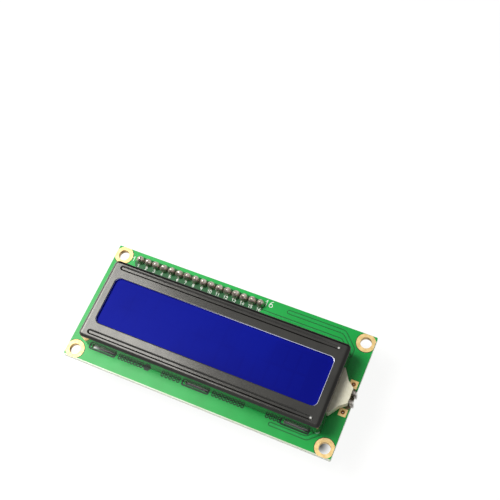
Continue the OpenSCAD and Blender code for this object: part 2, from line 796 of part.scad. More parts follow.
// Solder along each lead: a low loaf on its land, and a ring where it leaves the lamp
module lead_solder() {
    loaf_r = (lead_land_h * lead_land_h / 4 + loaf_h * loaf_h) / (2 * loaf_h);
    loaf_len = lead_land_w - 2 * loaf_inset;
    color("darkgray") at_leads() difference() {
        union() {
            translate([board_w / 2 - lead_land_w / 2, 0, -board_t - land_t]) rotate([90, 180, 90])
                translate([0, 0, -loaf_len / 2]) linear_extrude(loaf_len) intersection() {
                    translate([0, loaf_h - loaf_r]) circle(loaf_r, $fn = 96);
                    translate([-lead_land_h / 2, 0]) square([lead_land_h, loaf_h + cut]);
                }
            translate([tongue_end + fit, 0, lamp_z]) rotate([0, 90, 0])
                cylinder(h = lead_x - tongue_end - 2 * fit, r = lead_bead_r, $fn = 32);
        }
        lamp_lead();
    }
}

// ---- pin row ----

module row_pins() {
    color("khaki") at_row() square_pin(adapter_z - adapter_t - pin_rear, pin_front);
}

module row_strip() {
    color("#202020") translate([row_x, row_y, adapter_z]) header_plastic(pin_count);
}

module row_front_solder() {
    color("lightgray") at_row() solder_cone(joint_r, joint_h);
}

module row_rear_solder() {
    color("lightgray") at_row() translate([0, 0, adapter_z - adapter_t]) rotate([180, 0, 0])
        solder_cone(joint_r, rear_joint_h);
}

// ---- parts on the back of the main board ----

module controller_dome() {
    color("#181818") on_rear() translate([controller_at[0], controller_at[1], 0])
        dome(dome_r_controller, dome_t);
}

module driver_dome() {
    color("#181818") on_rear() translate([driver_at[0], driver_at[1], 0])
        dome(dome_r_driver, driver_dome_t);
}

module board_resistors() {
    color("#222222") on_rear() for (p = rear_resistors)
        translate([p[0], p[1], 0]) bar(chip_r_len, chip_r_w, chip_r_t);
}

module board_resistor_ends() {
    color("silver") on_rear() for (p = rear_resistors)
        translate([p[0], p[1], 0]) chip_ends(chip_r_len, chip_r_w, chip_r_t);
}

// Solder that closes the first of the three link lands
module link_solder() {
    color("silver") on_rear() translate([link_lands[0][0], link_lands[0][1], land_t])
        dome(link_joint[0], link_joint[1]);
}

// ---- adapter board ----

module adapter_board() {
    through = adapter_t + 2 * cut;
    color("#1c1c20") difference() {
        on_adapter([adapter_w / 2, adapter_h / 2]) translate([0, 0, -adapter_t])
            linear_extrude(adapter_t) round_rect(adapter_w, adapter_h, plate_r);
        translate([0, 0, adapter_z - adapter_t - cut]) at_row()
            cylinder(h = through, d = pin_hole_d, $fn = 24);
        for (p = concat(pins_of(link_at, 2), pins_of(bus_at, 4)))
            on_adapter(p) translate([0, 0, -adapter_t - cut])
                cylinder(h = through, d = pin_hole_d, $fn = 24);
        for (p = trim_pins)
            on_adapter(trim_at + p) translate([0, 0, -adapter_t - cut])
                cylinder(h = through, d = trim_pin_d + trim_hole_gap, $fn = 24);
    }
}

// Joints on the adapter board's inner face, under the headers and the trimmer
module adapter_joints() {
    color("lightgray") {
        for (p = concat(pins_of(link_at, 2), pins_of(bus_at, 4)))
            on_adapter(p) translate([0, 0, -adapter_t]) rotate([180, 0, 0])
                solder_cone(tail_joint_r, tail_joint_h);
        for (p = trim_pins)
            on_adapter(trim_at + p) translate([0, 0, -adapter_t]) rotate([180, 0, 0])
                solder_cone(tail_joint_r, tail_joint_h, trim_pin_d, true);
    }
}

// Where the n pins of an angle header stand, in a line up the adapter board
function pins_of(at, n) = [for (i = [0 : n - 1]) [at[0], at[1] + (i - (n - 1) / 2) * pin_pitch]];

// ---- expander chip ----

module expander_body() {
    parting = chip_stand + chip_t / 2;
    top = chip_stand + chip_t;
    module draft(w) {
        polygon([
            [chip_draft - w / 2, chip_stand], [w / 2 - chip_draft, chip_stand], [w / 2, parting],
            [w / 2 - chip_draft, top], [chip_draft - w / 2, top], [-w / 2, parting]
        ]);
    }
    color("#2b2b2b") on_adapter(chip_at) difference() {
        intersection() {
            translate([0, chip_len / 2, 0]) rotate([90, 0, 0]) linear_extrude(chip_len) draft(chip_w);
            rotate([90, 0, 90]) translate([0, 0, -chip_w / 2]) linear_extrude(chip_w) draft(chip_len);
        }
        translate([chip_w / 2 - chip_mark[0], chip_mark[0] - chip_len / 2, top - chip_mark[2]])
            cylinder(h = cut, r = chip_mark[1], $fn = 24);
    }
}

// A lead formed like a gull's wing: out at height z, down, and out again along the board
module gull_lead(run, z, w, t) {
    bend = [0.26, 0.4, 0.42, 0.58];
    rotate([90, 0, 0]) linear_extrude(w) polygon([
        [0, z - t / 2], [0, z + t / 2], [run * bend[1], z + t / 2], [run * bend[3], t],
        [run, t], [run, 0], [run * bend[2], 0], [run * bend[0], z - t / 2]
    ]);
}

// Puts children at each chip lead, local X outward from the chip's side
module at_chip_leads() {
    for (turn = [0, 180], i = [0 : chip_leads - 1])
        on_adapter(chip_at) rotate([0, 0, turn])
            translate([chip_w / 2, (i - (chip_leads - 1) / 2) * chip_pitch, 0]) children();
}

module expander_leads() {
    run = (chip_span - chip_w) / 2;
    color("silver") at_chip_leads() translate([0, chip_lead_w / 2, land_t])
        gull_lead(run, chip_stand + chip_t / 2 - land_t, chip_lead_w, chip_lead_t);
}

module expander_lands() {
    run = (chip_span - chip_w) / 2;
    color("gainsboro") at_chip_leads() translate([run + chip_land[2] - chip_land[0] / 2, 0, 0])
        bar(chip_land[0], chip_land[1], land_t);
}

// ---- trimmer ----

module trimmer_body() {
    color("dodgerblue") on_adapter(trim_at) difference() {
        union() {
            translate([0, 0, foot_t]) linear_extrude(trim_t - foot_t)
                round_rect(trim_w, trim_len, trim_r);
            for (sx = [-1, 1], sy = [-1, 1])
                translate([sx * (trim_w - foot_w) / 2 - sx * rim, sy * (trim_len - foot_w) / 2 - sy * rim, 0])
                    bar(foot_w, foot_w, foot_t + step_lap);
        }
        translate([0, 0, trim_t - rotor_t]) cylinder(h = rotor_t + cut, d = rotor_d + 2 * rotor_gap);
        translate([0, 0, trim_t - rotor_t - spindle_len - rotor_gap])
            cylinder(h = spindle_len + cut, d = spindle_d + 2 * rotor_gap);
        for (p = trim_pins) translate([p[0], p[1], -cut])
            cylinder(h = foot_t + cut, d = trim_pin_d + 2 * fit, $fn = 24);
    }
}

module trimmer_rotor() {
    color("silver") on_adapter(trim_at) translate([0, 0, trim_t - rotor_t + fit]) difference() {
        union() {
            cylinder(h = rotor_t, d = rotor_d);
            translate([0, 0, -spindle_len]) cylinder(h = spindle_len, d = spindle_d);
        }
        for (turn = [0, 90]) rotate([0, 0, turn])
            translate([0, 0, rotor_t - cross_depth])
                bar(cross_w, rotor_d - 2 * cross_end, rotor_t);
    }
}

module trimmer_pins() {
    color("khaki") for (p = trim_pins)
        on_adapter(trim_at + p) translate([0, 0, -adapter_t - tail_out])
            cylinder(h = adapter_t + tail_out + foot_t, d = trim_pin_d, $fn = 24);
}

// ---- angle headers ----

// Turns an angle header so that local X points off its end of the adapter board
module facing(at, out_left) {
    on_adapter(at) rotate([0, 0, out_left ? 180 : 0]) children();
}

module angle_plastic(n) {
    translate([bend_gap, 0, pin_mid]) rotate([90, 0, 90]) header_plastic(n);
}

module jumper_base() {
    color("#303030") facing(link_at, true) angle_plastic(2);
}

module jumper_pins() {
    color("khaki") for (p = pins_of(link_at, 2)) facing(p, true) angle_pin(link_out + link_reach);
}

module bus_base() {
    color("#202020") facing(bus_at, false) angle_plastic(4);
}

module bus_pins() {
    color("khaki") for (p = pins_of(bus_at, 4)) facing(p, false) angle_pin(link_out + bus_reach);
}

// Jumper cap: a plastic block, and a narrow web between the two sleeves of its contact
module jumper_cap() {
    web_w = pin_pitch - clip_outer - 2 * fit;
    color("#2a2a2a") facing(link_at, true) translate([cap_start, 0, 0]) difference() {
        union() {
            translate([0, -pin_pitch, 0]) cube([cap_len, 2 * pin_pitch, strip_side]);
            translate([cap_len, -web_w / 2, pin_mid - clip_inner / 2])
                cube([clip_reach + web_past, web_w, clip_inner]);
        }
        for (s = [-1, 1]) translate([-cut, s * pin_pitch / 2, pin_mid]) rotate([0, 90, 0])
            bar(clip_outer + 2 * fit, clip_outer + 2 * fit, cap_len + 2 * cut);
    }
}

// The cap's folded metal contact: a square sleeve on each pin and the plate that joins them
module jumper_contact() {
    sleeve = cap_len + clip_reach - clip_t;
    color("gainsboro") facing(link_at, true) translate([cap_start + clip_t, 0, 0]) difference() {
        union() {
            for (s = [-1, 1]) translate([0, s * pin_pitch / 2, pin_mid]) rotate([0, 90, 0])
                bar(clip_outer, clip_outer, sleeve);
            translate([sleeve - clip_plate, -pin_pitch / 2, pin_mid + clip_inner / 2])
                cube([clip_plate, pin_pitch, clip_t]);
        }
        for (s = [-1, 1]) translate([-cut, s * pin_pitch / 2, pin_mid]) rotate([0, 90, 0])
            bar(clip_inner, clip_inner, sleeve + 2 * cut);
    }
}

// ---- small parts on the adapter board ----

module transistor_body() {
    color("#202020") on_adapter(transistor_at) translate([0, 0, transistor_stand])
        bar(transistor_body_size[0], transistor_body_size[1], transistor_body_size[2]);
}

module transistor_leads() {
    z = transistor_stand + transistor_body_size[2] / 2;
    color("silver") on_adapter(transistor_at)
        for (p = [[1, 0], [-1, transistor_pitch / 2], [-1, -transistor_pitch / 2]])
            translate([p[0] * transistor_body_size[0] / 2, p[1], 0]) rotate([0, 0, p[0] > 0 ? 0 : 180])
                translate([0, transistor_lead[1] / 2, 0])
                    gull_lead(transistor_lead[0], z, transistor_lead[1], transistor_lead[2]);
}

module power_lamp() {
    color("white") on_adapter(lamp_at) rotate([0, 0, 90]) {
        bar(lamp_chip[0], lamp_chip[1], lamp_base);
        bar(lens_len, lamp_chip[1], lamp_chip[2]);
    }
}

module power_lamp_ends() {
    color("silver") on_adapter(lamp_at) rotate([0, 0, 90])
        chip_ends(lamp_chip[0], lamp_chip[1], lamp_base);
}

module chip_capacitor() {
    color("burlywood") on_adapter(capacitor_at) rotate([0, 0, 90])
        bar(chip_r_len, chip_r_w, 2 * chip_r_t);
}

module chip_capacitor_ends() {
    color("silver") on_adapter(capacitor_at) rotate([0, 0, 90])
        chip_ends(chip_r_len, chip_r_w, 2 * chip_r_t);
}

// Puts children at each resistor of the adapter board, long side along local X
module at_resistors() {
    for (p = upright_resistors) on_adapter(p) rotate([0, 0, 90]) children();
    for (p = level_resistors) on_adapter(p) children();
}

module adapter_resistors() {
    color("#222222") at_resistors() bar(chip_r_len, chip_r_w, chip_r_t);
}

module adapter_resistor_ends() {
    color("silver") at_resistors() chip_ends(chip_r_len, chip_r_w, chip_r_t);
}

// The three pairs of open lands that set the adapter's address
module address_lands() {
    color("gainsboro") for (p = address_at, s = [-1, 1])
        on_adapter([p[0], p[1] + s * address_pitch / 2]) bar(address_pad[0], address_pad[1], land_t);
}

main_board();
mounting_rings();
backlight_lands();
tab_lands();
bare_lands();
bezel();
front_polarizer();
front_glass();
rear_glass();
rear_polarizer();
upper_contact_strip();
lower_contact_strip();
diffuser_film();
light_guide();
reflector_tray();
backlight_lamp();
backlight_leads();
lead_solder();
row_pins();
row_strip();
row_front_solder();
row_rear_solder();
controller_dome();
driver_dome();
board_resistors();
board_resistor_ends();
link_solder();
adapter_board();
expander_body();
expander_leads();
expander_lands();
trimmer_body();
trimmer_rotor();
trimmer_pins();
jumper_base();
jumper_pins();
jumper_cap();
jumper_contact();
bus_base();
bus_pins();
transistor_body();
transistor_leads();
power_lamp();
power_lamp_ends();
chip_capacitor();
chip_capacitor_ends();
adapter_resistors();
adapter_resistor_ends();
address_lands();
adapter_joints();
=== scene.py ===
# Character display module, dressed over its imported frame
import math

import bpy
import mathutils
import numpy as np
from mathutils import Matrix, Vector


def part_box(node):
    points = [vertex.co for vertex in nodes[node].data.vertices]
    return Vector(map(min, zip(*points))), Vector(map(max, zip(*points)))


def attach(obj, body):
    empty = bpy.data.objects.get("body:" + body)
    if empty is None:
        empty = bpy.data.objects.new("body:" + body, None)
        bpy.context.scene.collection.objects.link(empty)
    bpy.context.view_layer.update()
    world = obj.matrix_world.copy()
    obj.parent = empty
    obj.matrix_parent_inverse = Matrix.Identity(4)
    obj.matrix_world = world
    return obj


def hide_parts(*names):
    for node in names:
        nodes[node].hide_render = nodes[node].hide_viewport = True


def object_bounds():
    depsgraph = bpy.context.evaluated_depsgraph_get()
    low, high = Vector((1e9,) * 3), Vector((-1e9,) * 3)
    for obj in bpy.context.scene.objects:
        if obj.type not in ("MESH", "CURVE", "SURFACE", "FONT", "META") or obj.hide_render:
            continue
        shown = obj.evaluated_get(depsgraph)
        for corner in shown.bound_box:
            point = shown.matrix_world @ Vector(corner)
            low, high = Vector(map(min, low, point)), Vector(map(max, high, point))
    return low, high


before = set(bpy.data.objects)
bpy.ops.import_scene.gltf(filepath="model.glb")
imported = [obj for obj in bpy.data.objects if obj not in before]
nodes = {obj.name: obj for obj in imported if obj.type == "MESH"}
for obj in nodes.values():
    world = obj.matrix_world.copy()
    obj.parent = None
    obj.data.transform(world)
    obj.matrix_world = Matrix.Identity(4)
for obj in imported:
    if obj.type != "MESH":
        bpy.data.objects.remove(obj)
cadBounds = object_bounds()
mm = 0.001
print("frame loaded:", len(nodes), "nodes")


def inMm(node):
    low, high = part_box(node)
    return np.array(low) / mm, np.array(high) / mm


boardLow, boardHigh = inMm("main_board")
adapterLow, adapterHigh = inMm("adapter_board")

# camera and lamps
view = {
    "at": (0.0635853, -0.0643749, 0.2334760),
    "turn": (25.7661, 5.8714, 23.3773),
    "sensor": 36.0,
    "lens": 64.8,
}
camera = bpy.data.objects.new("camera", bpy.data.cameras.new("camera"))
bpy.context.scene.collection.objects.link(camera)
camera.location = view["at"]
camera.rotation_euler = [math.radians(a) for a in view["turn"]]
camera.data.sensor_width = view["sensor"]
camera.data.lens = view["lens"]
camera.data.clip_start = 0.01
camera.data.clip_end = 10
bpy.context.scene.camera = camera
bpy.context.scene.view_settings.view_transform = "Standard"

lamps = {
    "sideLamp": {
        "at": (-0.12, -0.002, 0.205), "size": 0.14, "power": 0.67, "roll": 45, "tint": (1.0, 0.99, 0.97),
    },
    "lowLamp": {
        "at": (-0.06, -0.34, 0.24), "size": 0.55, "power": 0.36, "roll": 0, "tint": (0.98, 0.99, 1.0),
    },
}
for name, lamp in lamps.items():
    light = bpy.data.lights.new(name, "AREA")
    light.shape = "SQUARE"
    light.size = lamp["size"]
    light.energy = lamp["power"]
    light.color = lamp["tint"]
    holder = bpy.data.objects.new(name, light)
    bpy.context.scene.collection.objects.link(holder)
    holder.location = lamp["at"]
    aim = mathutils.Vector(lamp["at"]).to_track_quat("Z", "Y").to_matrix()
    roll = mathutils.Matrix.Rotation(math.radians(lamp["roll"]), 3, "Z")
    holder.rotation_euler = (aim @ roll).to_euler()
print("camera and lamps ready")


def tint(r, g, b):
    # screen values from 0 to 255, as the linear colour a socket takes: the standard curve undone
    c = np.array([r, g, b], float) / 255
    linear = np.where(c <= 0.04045, c / 12.92, ((c + 0.055) / 1.055) ** 2.4)
    return (*linear.tolist(), 1.0)


class Wire:
    # one output socket; sums and products with it add Math nodes
    def __init__(self, finish, socket):
        self.finish = finish
        self.socket = socket

    def maths(self, operation, *others):
        return self.finish.maths(operation, self, *others)

    def __add__(self, other):
        return self.maths("ADD", other)

    def __radd__(self, other):
        return self.finish.maths("ADD", other, self)

    def __sub__(self, other):
        return self.maths("SUBTRACT", other)

    def __rsub__(self, other):
        return self.finish.maths("SUBTRACT", other, self)

    def __mul__(self, other):
        return self.maths("MULTIPLY", other)

    def __rmul__(self, other):
        return self.finish.maths("MULTIPLY", other, self)

    def __gt__(self, other):
        return self.maths("GREATER_THAN", other)

    def __lt__(self, other):
        return self.maths("LESS_THAN", other)

    def __abs__(self):
        return self.maths("ABSOLUTE")

    def fold(self, period):
        # distance to the nearest whole multiple of the period
        return self.maths("PINGPONG", period / 2)

    def smooth(self, low, high):
        return self.finish.add(
            "ShaderNodeMapRange",
            {"interpolation_type": "SMOOTHSTEP"},
            {0: self, 1: low, 2: high, 3: 0.0, 4: 1.0},
        )


class Finish:
    # a material, or a world, put together node by node
    def __init__(self, name, world=False):
        self.owner = (bpy.data.worlds if world else bpy.data.materials).new(name)
        self.owner.use_nodes = True
        self.tree = self.owner.node_tree
        self.tree.nodes.clear()
        self.output = self.tree.nodes.new("ShaderNodeOutputWorld" if world else "ShaderNodeOutputMaterial")
        self.place = None

    def add(self, kind, settings=None, inputs=None, output=0):
        made = self.tree.nodes.new(kind)
        for key, value in (settings or {}).items():
            setattr(made, key, value)
        for key, value in (inputs or {}).items():
            self.plug(made.inputs[key], value)
        return Wire(self, made.outputs[output])

    def maths(self, operation, *values):
        return self.add("ShaderNodeMath", {"operation": operation}, dict(enumerate(values)))

    def plug(self, socket, value):
        if isinstance(value, Wire):
            self.tree.links.new(value.socket, socket)
        else:
            socket.default_value = value

    def spot(self):
        # the point on the piece, in millimetres
        if self.place is None:
            raw = self.add("ShaderNodeTexCoord", output="Object")
            self.place = self.add(
                "ShaderNodeVectorMath", {"operation": "SCALE"}, {0: raw, "Scale": 1 / mm}
            )
        return self.place

    def axes(self):
        made = self.tree.nodes.new("ShaderNodeSeparateXYZ")
        self.plug(made.inputs[0], self.spot())
        return [Wire(self, socket) for socket in made.outputs]

    def noise(self, scale, detail=2.0, rough=0.5, stretch=None):
        where = self.spot()
        if stretch:
            where = self.add("ShaderNodeVectorMath", {"operation": "MULTIPLY"}, {0: where, 1: stretch})
        return self.add(
            "ShaderNodeTexNoise", {}, {"Vector": where, "Scale": scale, "Detail": detail, "Roughness": rough}
        )

    def blend(self, factor, first, second):
        return self.add(
            "ShaderNodeMix", {"data_type": "RGBA"}, {0: factor, 6: first, 7: second}, output=2
        )

    def bump(self, height, depth):
        # depth is how far, in millimetres, a height of 1 stands out
        return self.add("ShaderNodeBump", {}, {"Height": height, "Distance": depth * mm, "Strength": 1.0})

    def shownRays(self):
        # 1 for the rays that show a background: seen straight, mirrored or through glass
        kinds = ("Camera", "Glossy", "Transmission")
        rays = [self.add("ShaderNodeLightPath", output=f"Is {kind} Ray") for kind in kinds]
        return (rays[0] + rays[1] + rays[2]).maths("MINIMUM", 1.0)

    def end(self, shader):
        self.tree.links.new(shader.socket, self.output.inputs[0])
        return self.owner

    def surface(self, **inputs):
        named = {key.replace("_", " "): value for key, value in inputs.items()}
        return self.end(self.add("ShaderNodeBsdfPrincipled", {}, named))


def maskedBoard(name, mask, deep, edge, low, high, rough, gloss, lip=0.0):
    # solder mask over copper on both faces; between them the pale laminate shows at edges and in slots,
    # and the lip is how wide a band of laminate colour is painted on the faces along the lower edge
    skin = 0.05
    f = Finish(name)
    x, y, z = f.axes()
    inside = (z > low[2] + skin) * (z < high[2] - skin)
    inside = inside.maths("MAXIMUM", (y < low[1] + lip) * 0.8)
    cloud = f.noise(0.12, 3.0)
    weave = x.fold(0.5) * y.fold(0.5)
    face = f.blend(cloud.smooth(0.3, 0.75), mask, deep)
    plies = f.noise(1.4, 2.0, stretch=(0.3, 0.3, 6.0))
    laminate = f.blend(plies.smooth(0.3, 0.7), edge[0], edge[1])
    height = weave * 0.5 + f.noise(3.0, 1.0) * 0.5
    return f.surface(
        Base_Color=f.blend(inside, face, laminate),
        Roughness=f.noise(0.4) * 0.06 + rough,
        Specular_IOR_Level=gloss,
        Normal=f.bump(height, 0.006),
    )


def maskTone(name, first, second, rough=0.38):
    # the same mask where it dips over bare laminate or stands up over a track
    f = Finish(name)
    cloud = f.noise(0.5, 3.0)
    return f.surface(
        Base_Color=f.blend(cloud.smooth(0.3, 0.7), first, second),
        Roughness=f.noise(0.4) * 0.06 + rough,
        Specular_IOR_Level=0.28,
        Normal=f.bump(f.noise(3.0, 1.0), 0.004),
    )


steel = {
    "beadAcross": 10.2, "beadEnd": 32.5, "beadHalf": 0.62, "beadLine": (0.08, 0.26), "beadFace": 6.5,
    "fade": (9.0, 4.0),  # the beads' lines die out between these distances from the right-hand wall
    "polishAt": (0.05, 0.1), "polishHighlight": 0.6, "foot": 1.3, "footTop": (1.2, 2.2),
    "windowX": -0.5, "windowY": -0.8, "windowHalfX": 32.7, "windowHalfY": 7.1, "windowCorner": 1.4,
    "cutEdge": 0.03,
    # paint and walls; painted shade, reflection and highlights on tabs, folds, hem and bead ends; bare steel
    "paint": (tint(54, 53, 50), tint(46, 45, 43)), "wall": tint(52, 45, 42), "tab": tint(10, 16, 12),
    "leftFoldReflection": tint(120, 118, 112), "hemHighlight": tint(150, 128, 112), "beadAndFoldShade": tint(6, 5, 5),
    "beadEndHighlight": tint(240, 240, 234), "bare": tint(214, 216, 232),
}


def paintedSteel():
    # satin black over folded steel: fine orange peel, painted shade beside the beads and on the folds,
    # painted highlights and a painted reflection on the folds and bead ends, bare bright steel at the cut
    # and the feet
    low, high = inMm("bezel")
    f = Finish("satinSteel")
    x, y, z = f.axes()
    peel = f.noise(2.6, 3.0, 0.6)
    dust = f.noise(0.25, 4.0, 0.65)
    midX, midY = (low[0] + high[0]) / 2, (low[1] + high[1]) / 2

    # a painted shade line round each bead, where the distance to the bead's middle line is its half width,
    # stronger on the side that faces away from the lamp
    past = (abs(x - midX) - steel["beadEnd"]).maths("MAXIMUM", 0.0)
    off = abs(y - midY) - steel["beadAcross"]
    crease = abs((past * past + off * off).maths("SQRT") - steel["beadHalf"])
    upper = (y - midY) > 0
    lowerSide = (off * (1 - upper * 2)).smooth(-0.3, 0.3)
    fade = x.smooth(high[0] - steel["fade"][0], high[0] - steel["fade"][1])
    line = (1 - crease.smooth(*steel["beadLine"])) * (1 - fade)
    line = line * (z > steel["beadFace"]) * (lowerSide * 0.7 + 0.3)

    # folds: painted shade along the far, near and right sides, a painted reflection along the left one and a
    # painted highlight in a thin hem
    farRim = (off > 1.1) * upper * (z > 5.4)
    nearRim = (1 - upper) * off.smooth(0.95, 1.3) * z.smooth(5.6, 6.4)
    sideRim = x.smooth(high[0] - 1.5, high[0] - 0.7) * z.smooth(5.9, 6.5)
    dark = line.maths("MAXIMUM", farRim * 0.9).maths("MAXIMUM", nearRim * 0.5)
    dark = dark.maths("MAXIMUM", sideRim * 0.6)
    hemHighlight = (x > high[0] - 0.35) * z.smooth(5.6, 5.85) * (1 - z.smooth(6.05, 6.25))
    leftFoldReflection = (1 - x.smooth(low[0] + 0.5, low[0] + 1.3)) * z.smooth(5.8, 6.2)
    wall = 1 - z.smooth(5.3, 6.3)
    # the tabs below the board are painted dark, as the shade in their slots
    tab = 1 - z.smooth(0.0, 0.5)

    # a polished spot with a painted highlight at each bead's right end, and bare steel at the four feet
    tipX, tipY = x - midX - steel["beadEnd"] - steel["polishAt"][0], off + steel["polishAt"][1]
    polishHighlight = 1 - (tipX * tipX + tipY * tipY).maths("SQRT").smooth(0.0, steel["polishHighlight"])
    footX, footY = abs(x - midX) - (high[0] - midX), abs(y - midY) - (high[1] - midY)
    foot = (footX * footX + footY * footY).maths("SQRT") < steel["foot"]
    foot = foot * (1 - z.smooth(*steel["footTop"]))

    # the cut edge: bare steel inside the window's rounded outline, grown along the right and top edges into
    # a painted highlight
    corner = steel["windowCorner"]
    sideX = (abs(x - steel["windowX"]) - (steel["windowHalfX"] - corner)).maths("MAXIMUM", 0.0)
    sideY = (abs(y - steel["windowY"]) - (steel["windowHalfY"] - corner)).maths("MAXIMUM", 0.0)
    worn = (x.smooth(31.0, 32.4) * 0.14).maths("MAXIMUM", y.smooth(5.2, 6.0) * x.smooth(-24.0, 12.0) * 0.09)
    worn = worn + steel["cutEdge"] + corner
    cut = ((sideX * sideX + sideY * sideY).maths("SQRT") - worn) < 0.0
    bare = (cut + foot).maths("MINIMUM", 1.0)

    base = f.blend(dust.smooth(0.35, 0.75), *steel["paint"])
    base = f.blend(wall, base, steel["wall"])
    base = f.blend(tab, base, steel["tab"])
    base = f.blend(leftFoldReflection * 0.6, base, steel["leftFoldReflection"])
    base = f.blend(hemHighlight, base, steel["hemHighlight"])
    base = f.blend(dark, base, steel["beadAndFoldShade"])
    base = f.blend(polishHighlight * polishHighlight, base, steel["beadEndHighlight"])
    return f.surface(
        Base_Color=f.blend(bare, base, steel["bare"]),
        Metallic=(dark + cut).maths("MINIMUM", 1.0) * 0.4 + 0.6 - foot * 0.4 - tab * 0.5,
        Roughness=dust * 0.06 + dark * 0.3 - polishHighlight * 0.06 + tab * 0.3 + 0.19,
        Specular_IOR_Level=0.5,
        Coat_Weight=(wall * 0.5 + 0.15) * (1 - dark) * z.smooth(-0.1, 0.6),
        Coat_Roughness=0.12,
        Normal=f.bump(peel, 0.007),
    )


cells = {
    "x": -29.4, "y": -6.55, "pitchX": 3.55, "pitchY": 5.94, "width": 2.95, "height": 5.2,
    "columns": 16, "rows": 2, "show": 0.2, "lit": tint(8, 22, 144),
    "film": (tint(7, 20, 141), tint(7, 15, 128)),
}


def displayFilm():
    # the cell switched off: deep blue, with the boxes of its figures only just there
    f = Finish("displayFilm")
    x, y, z = f.axes()
    acrossCell = (x - cells["x"]).maths("MODULO", cells["pitchX"])
    upCell = (y - cells["y"]).maths("MODULO", cells["pitchY"])
    right = cells["x"] + cells["columns"] * cells["pitchX"] - 0.6
    top = cells["y"] + cells["rows"] * cells["pitchY"] - 0.7
    area = (x > cells["x"]) * (x < right) * (y > cells["y"]) * (y < top)
    cell = (acrossCell < cells["width"]) * (upCell < cells["height"]) * area
    cloud = f.noise(0.05, 2.0)
    base = f.blend(cloud.smooth(0.35, 0.65), *cells["film"])
    return f.surface(
        Base_Color=f.blend(cell * cells["show"], base, cells["lit"]),
        Roughness=f.noise(0.6) * 0.04 + 0.42,
        Specular_IOR_Level=0.035,
        Normal=f.bump(f.noise(0.8, 2.0), 0.001),
    )


def solderMetal(name, bright, dark, rough, metal=1.0):
    # solder that has flowed: brighter and duller patches, softly uneven
    f = Finish(name)
    flow = f.noise(1.6, 3.0, 0.6)
    return f.surface(
        Base_Color=f.blend(flow.smooth(0.3, 0.7), bright, dark),
        Metallic=metal,
        Roughness=flow * 0.25 + rough,
        Normal=f.bump(flow, 0.05),
    )


def platedMetal(name, first, second, rough, metal=0.85):
    # flat plating with a slight haze and fine scratches
    f = Finish(name)
    haze = f.noise(0.8, 3.0)
    scratch = f.noise(5.0, 2.0, stretch=(1.0, 9.0, 1.0))
    return f.surface(
        Base_Color=f.blend(haze.smooth(0.3, 0.7), first, second),
        Metallic=metal,
        Roughness=haze * 0.15 + rough,
        Normal=f.bump(scratch, 0.004),
    )


def mouldedPlastic(name, first, second, rough, grain=0.02, gloss=0.5):
    # faintly mottled, with the fine grain of a mould
    f = Finish(name)
    mottle = f.noise(0.9, 3.0)
    fine = f.noise(9.0, 2.0)
    return f.surface(
        Base_Color=f.blend(mottle.smooth(0.3, 0.7), first, second),
        Roughness=fine * 0.12 + rough,
        Specular_IOR_Level=gloss,
        Normal=f.bump(fine, grain),
    )


def printedInk(name, colour, worn):
    # screen-printed ink, thinner in patches
    f = Finish(name)
    patch = f.noise(2.5, 3.0, 0.7)
    return f.surface(
        Base_Color=f.blend(patch.smooth(0.55, 0.85), colour, worn),
        Roughness=patch * 0.1 + 0.5,
        Normal=f.bump(f.noise(12.0), 0.004),
    )


def clearGlass():
    # thin display glass: the film behind it shows through
    f = Finish("clearGlass")
    streak = f.noise(0.4, 2.0)
    return f.surface(
        Base_Color=tint(214, 232, 228),
        Roughness=streak * 0.04 + 0.03,
        Alpha=0.4,
        Normal=f.bump(streak, 0.001),
    )


def slottedRotor():
    # pressed metal with a cross slot, painted dark as shade where either distance from the middle lines is
    # small
    low, high = inMm("trimmer_rotor")
    f = Finish("rotorMetal")
    x, y, z = f.axes()
    acrossX, acrossY = abs(x - (low[0] + high[0]) / 2), abs(y - (low[1] + high[1]) / 2)
    slotShade = (1 - acrossX.smooth(0.2, 0.32)).maths("MAXIMUM", 1 - acrossY.smooth(0.2, 0.32))
    inner = 1 - (acrossX * acrossX + acrossY * acrossY).maths("SQRT").smooth(1.15, 1.3)
    haze = f.noise(0.8, 3.0)
    base = f.blend(haze.smooth(0.3, 0.7), tint(222, 220, 212), tint(180, 178, 170))
    return f.surface(
        Base_Color=f.blend(slotShade * inner, base, tint(34, 30, 26)),
        Metallic=0.85 - slotShade * inner * 0.6,
        Roughness=haze * 0.15 + 0.28,
        Normal=f.bump(haze, 0.01),
    )


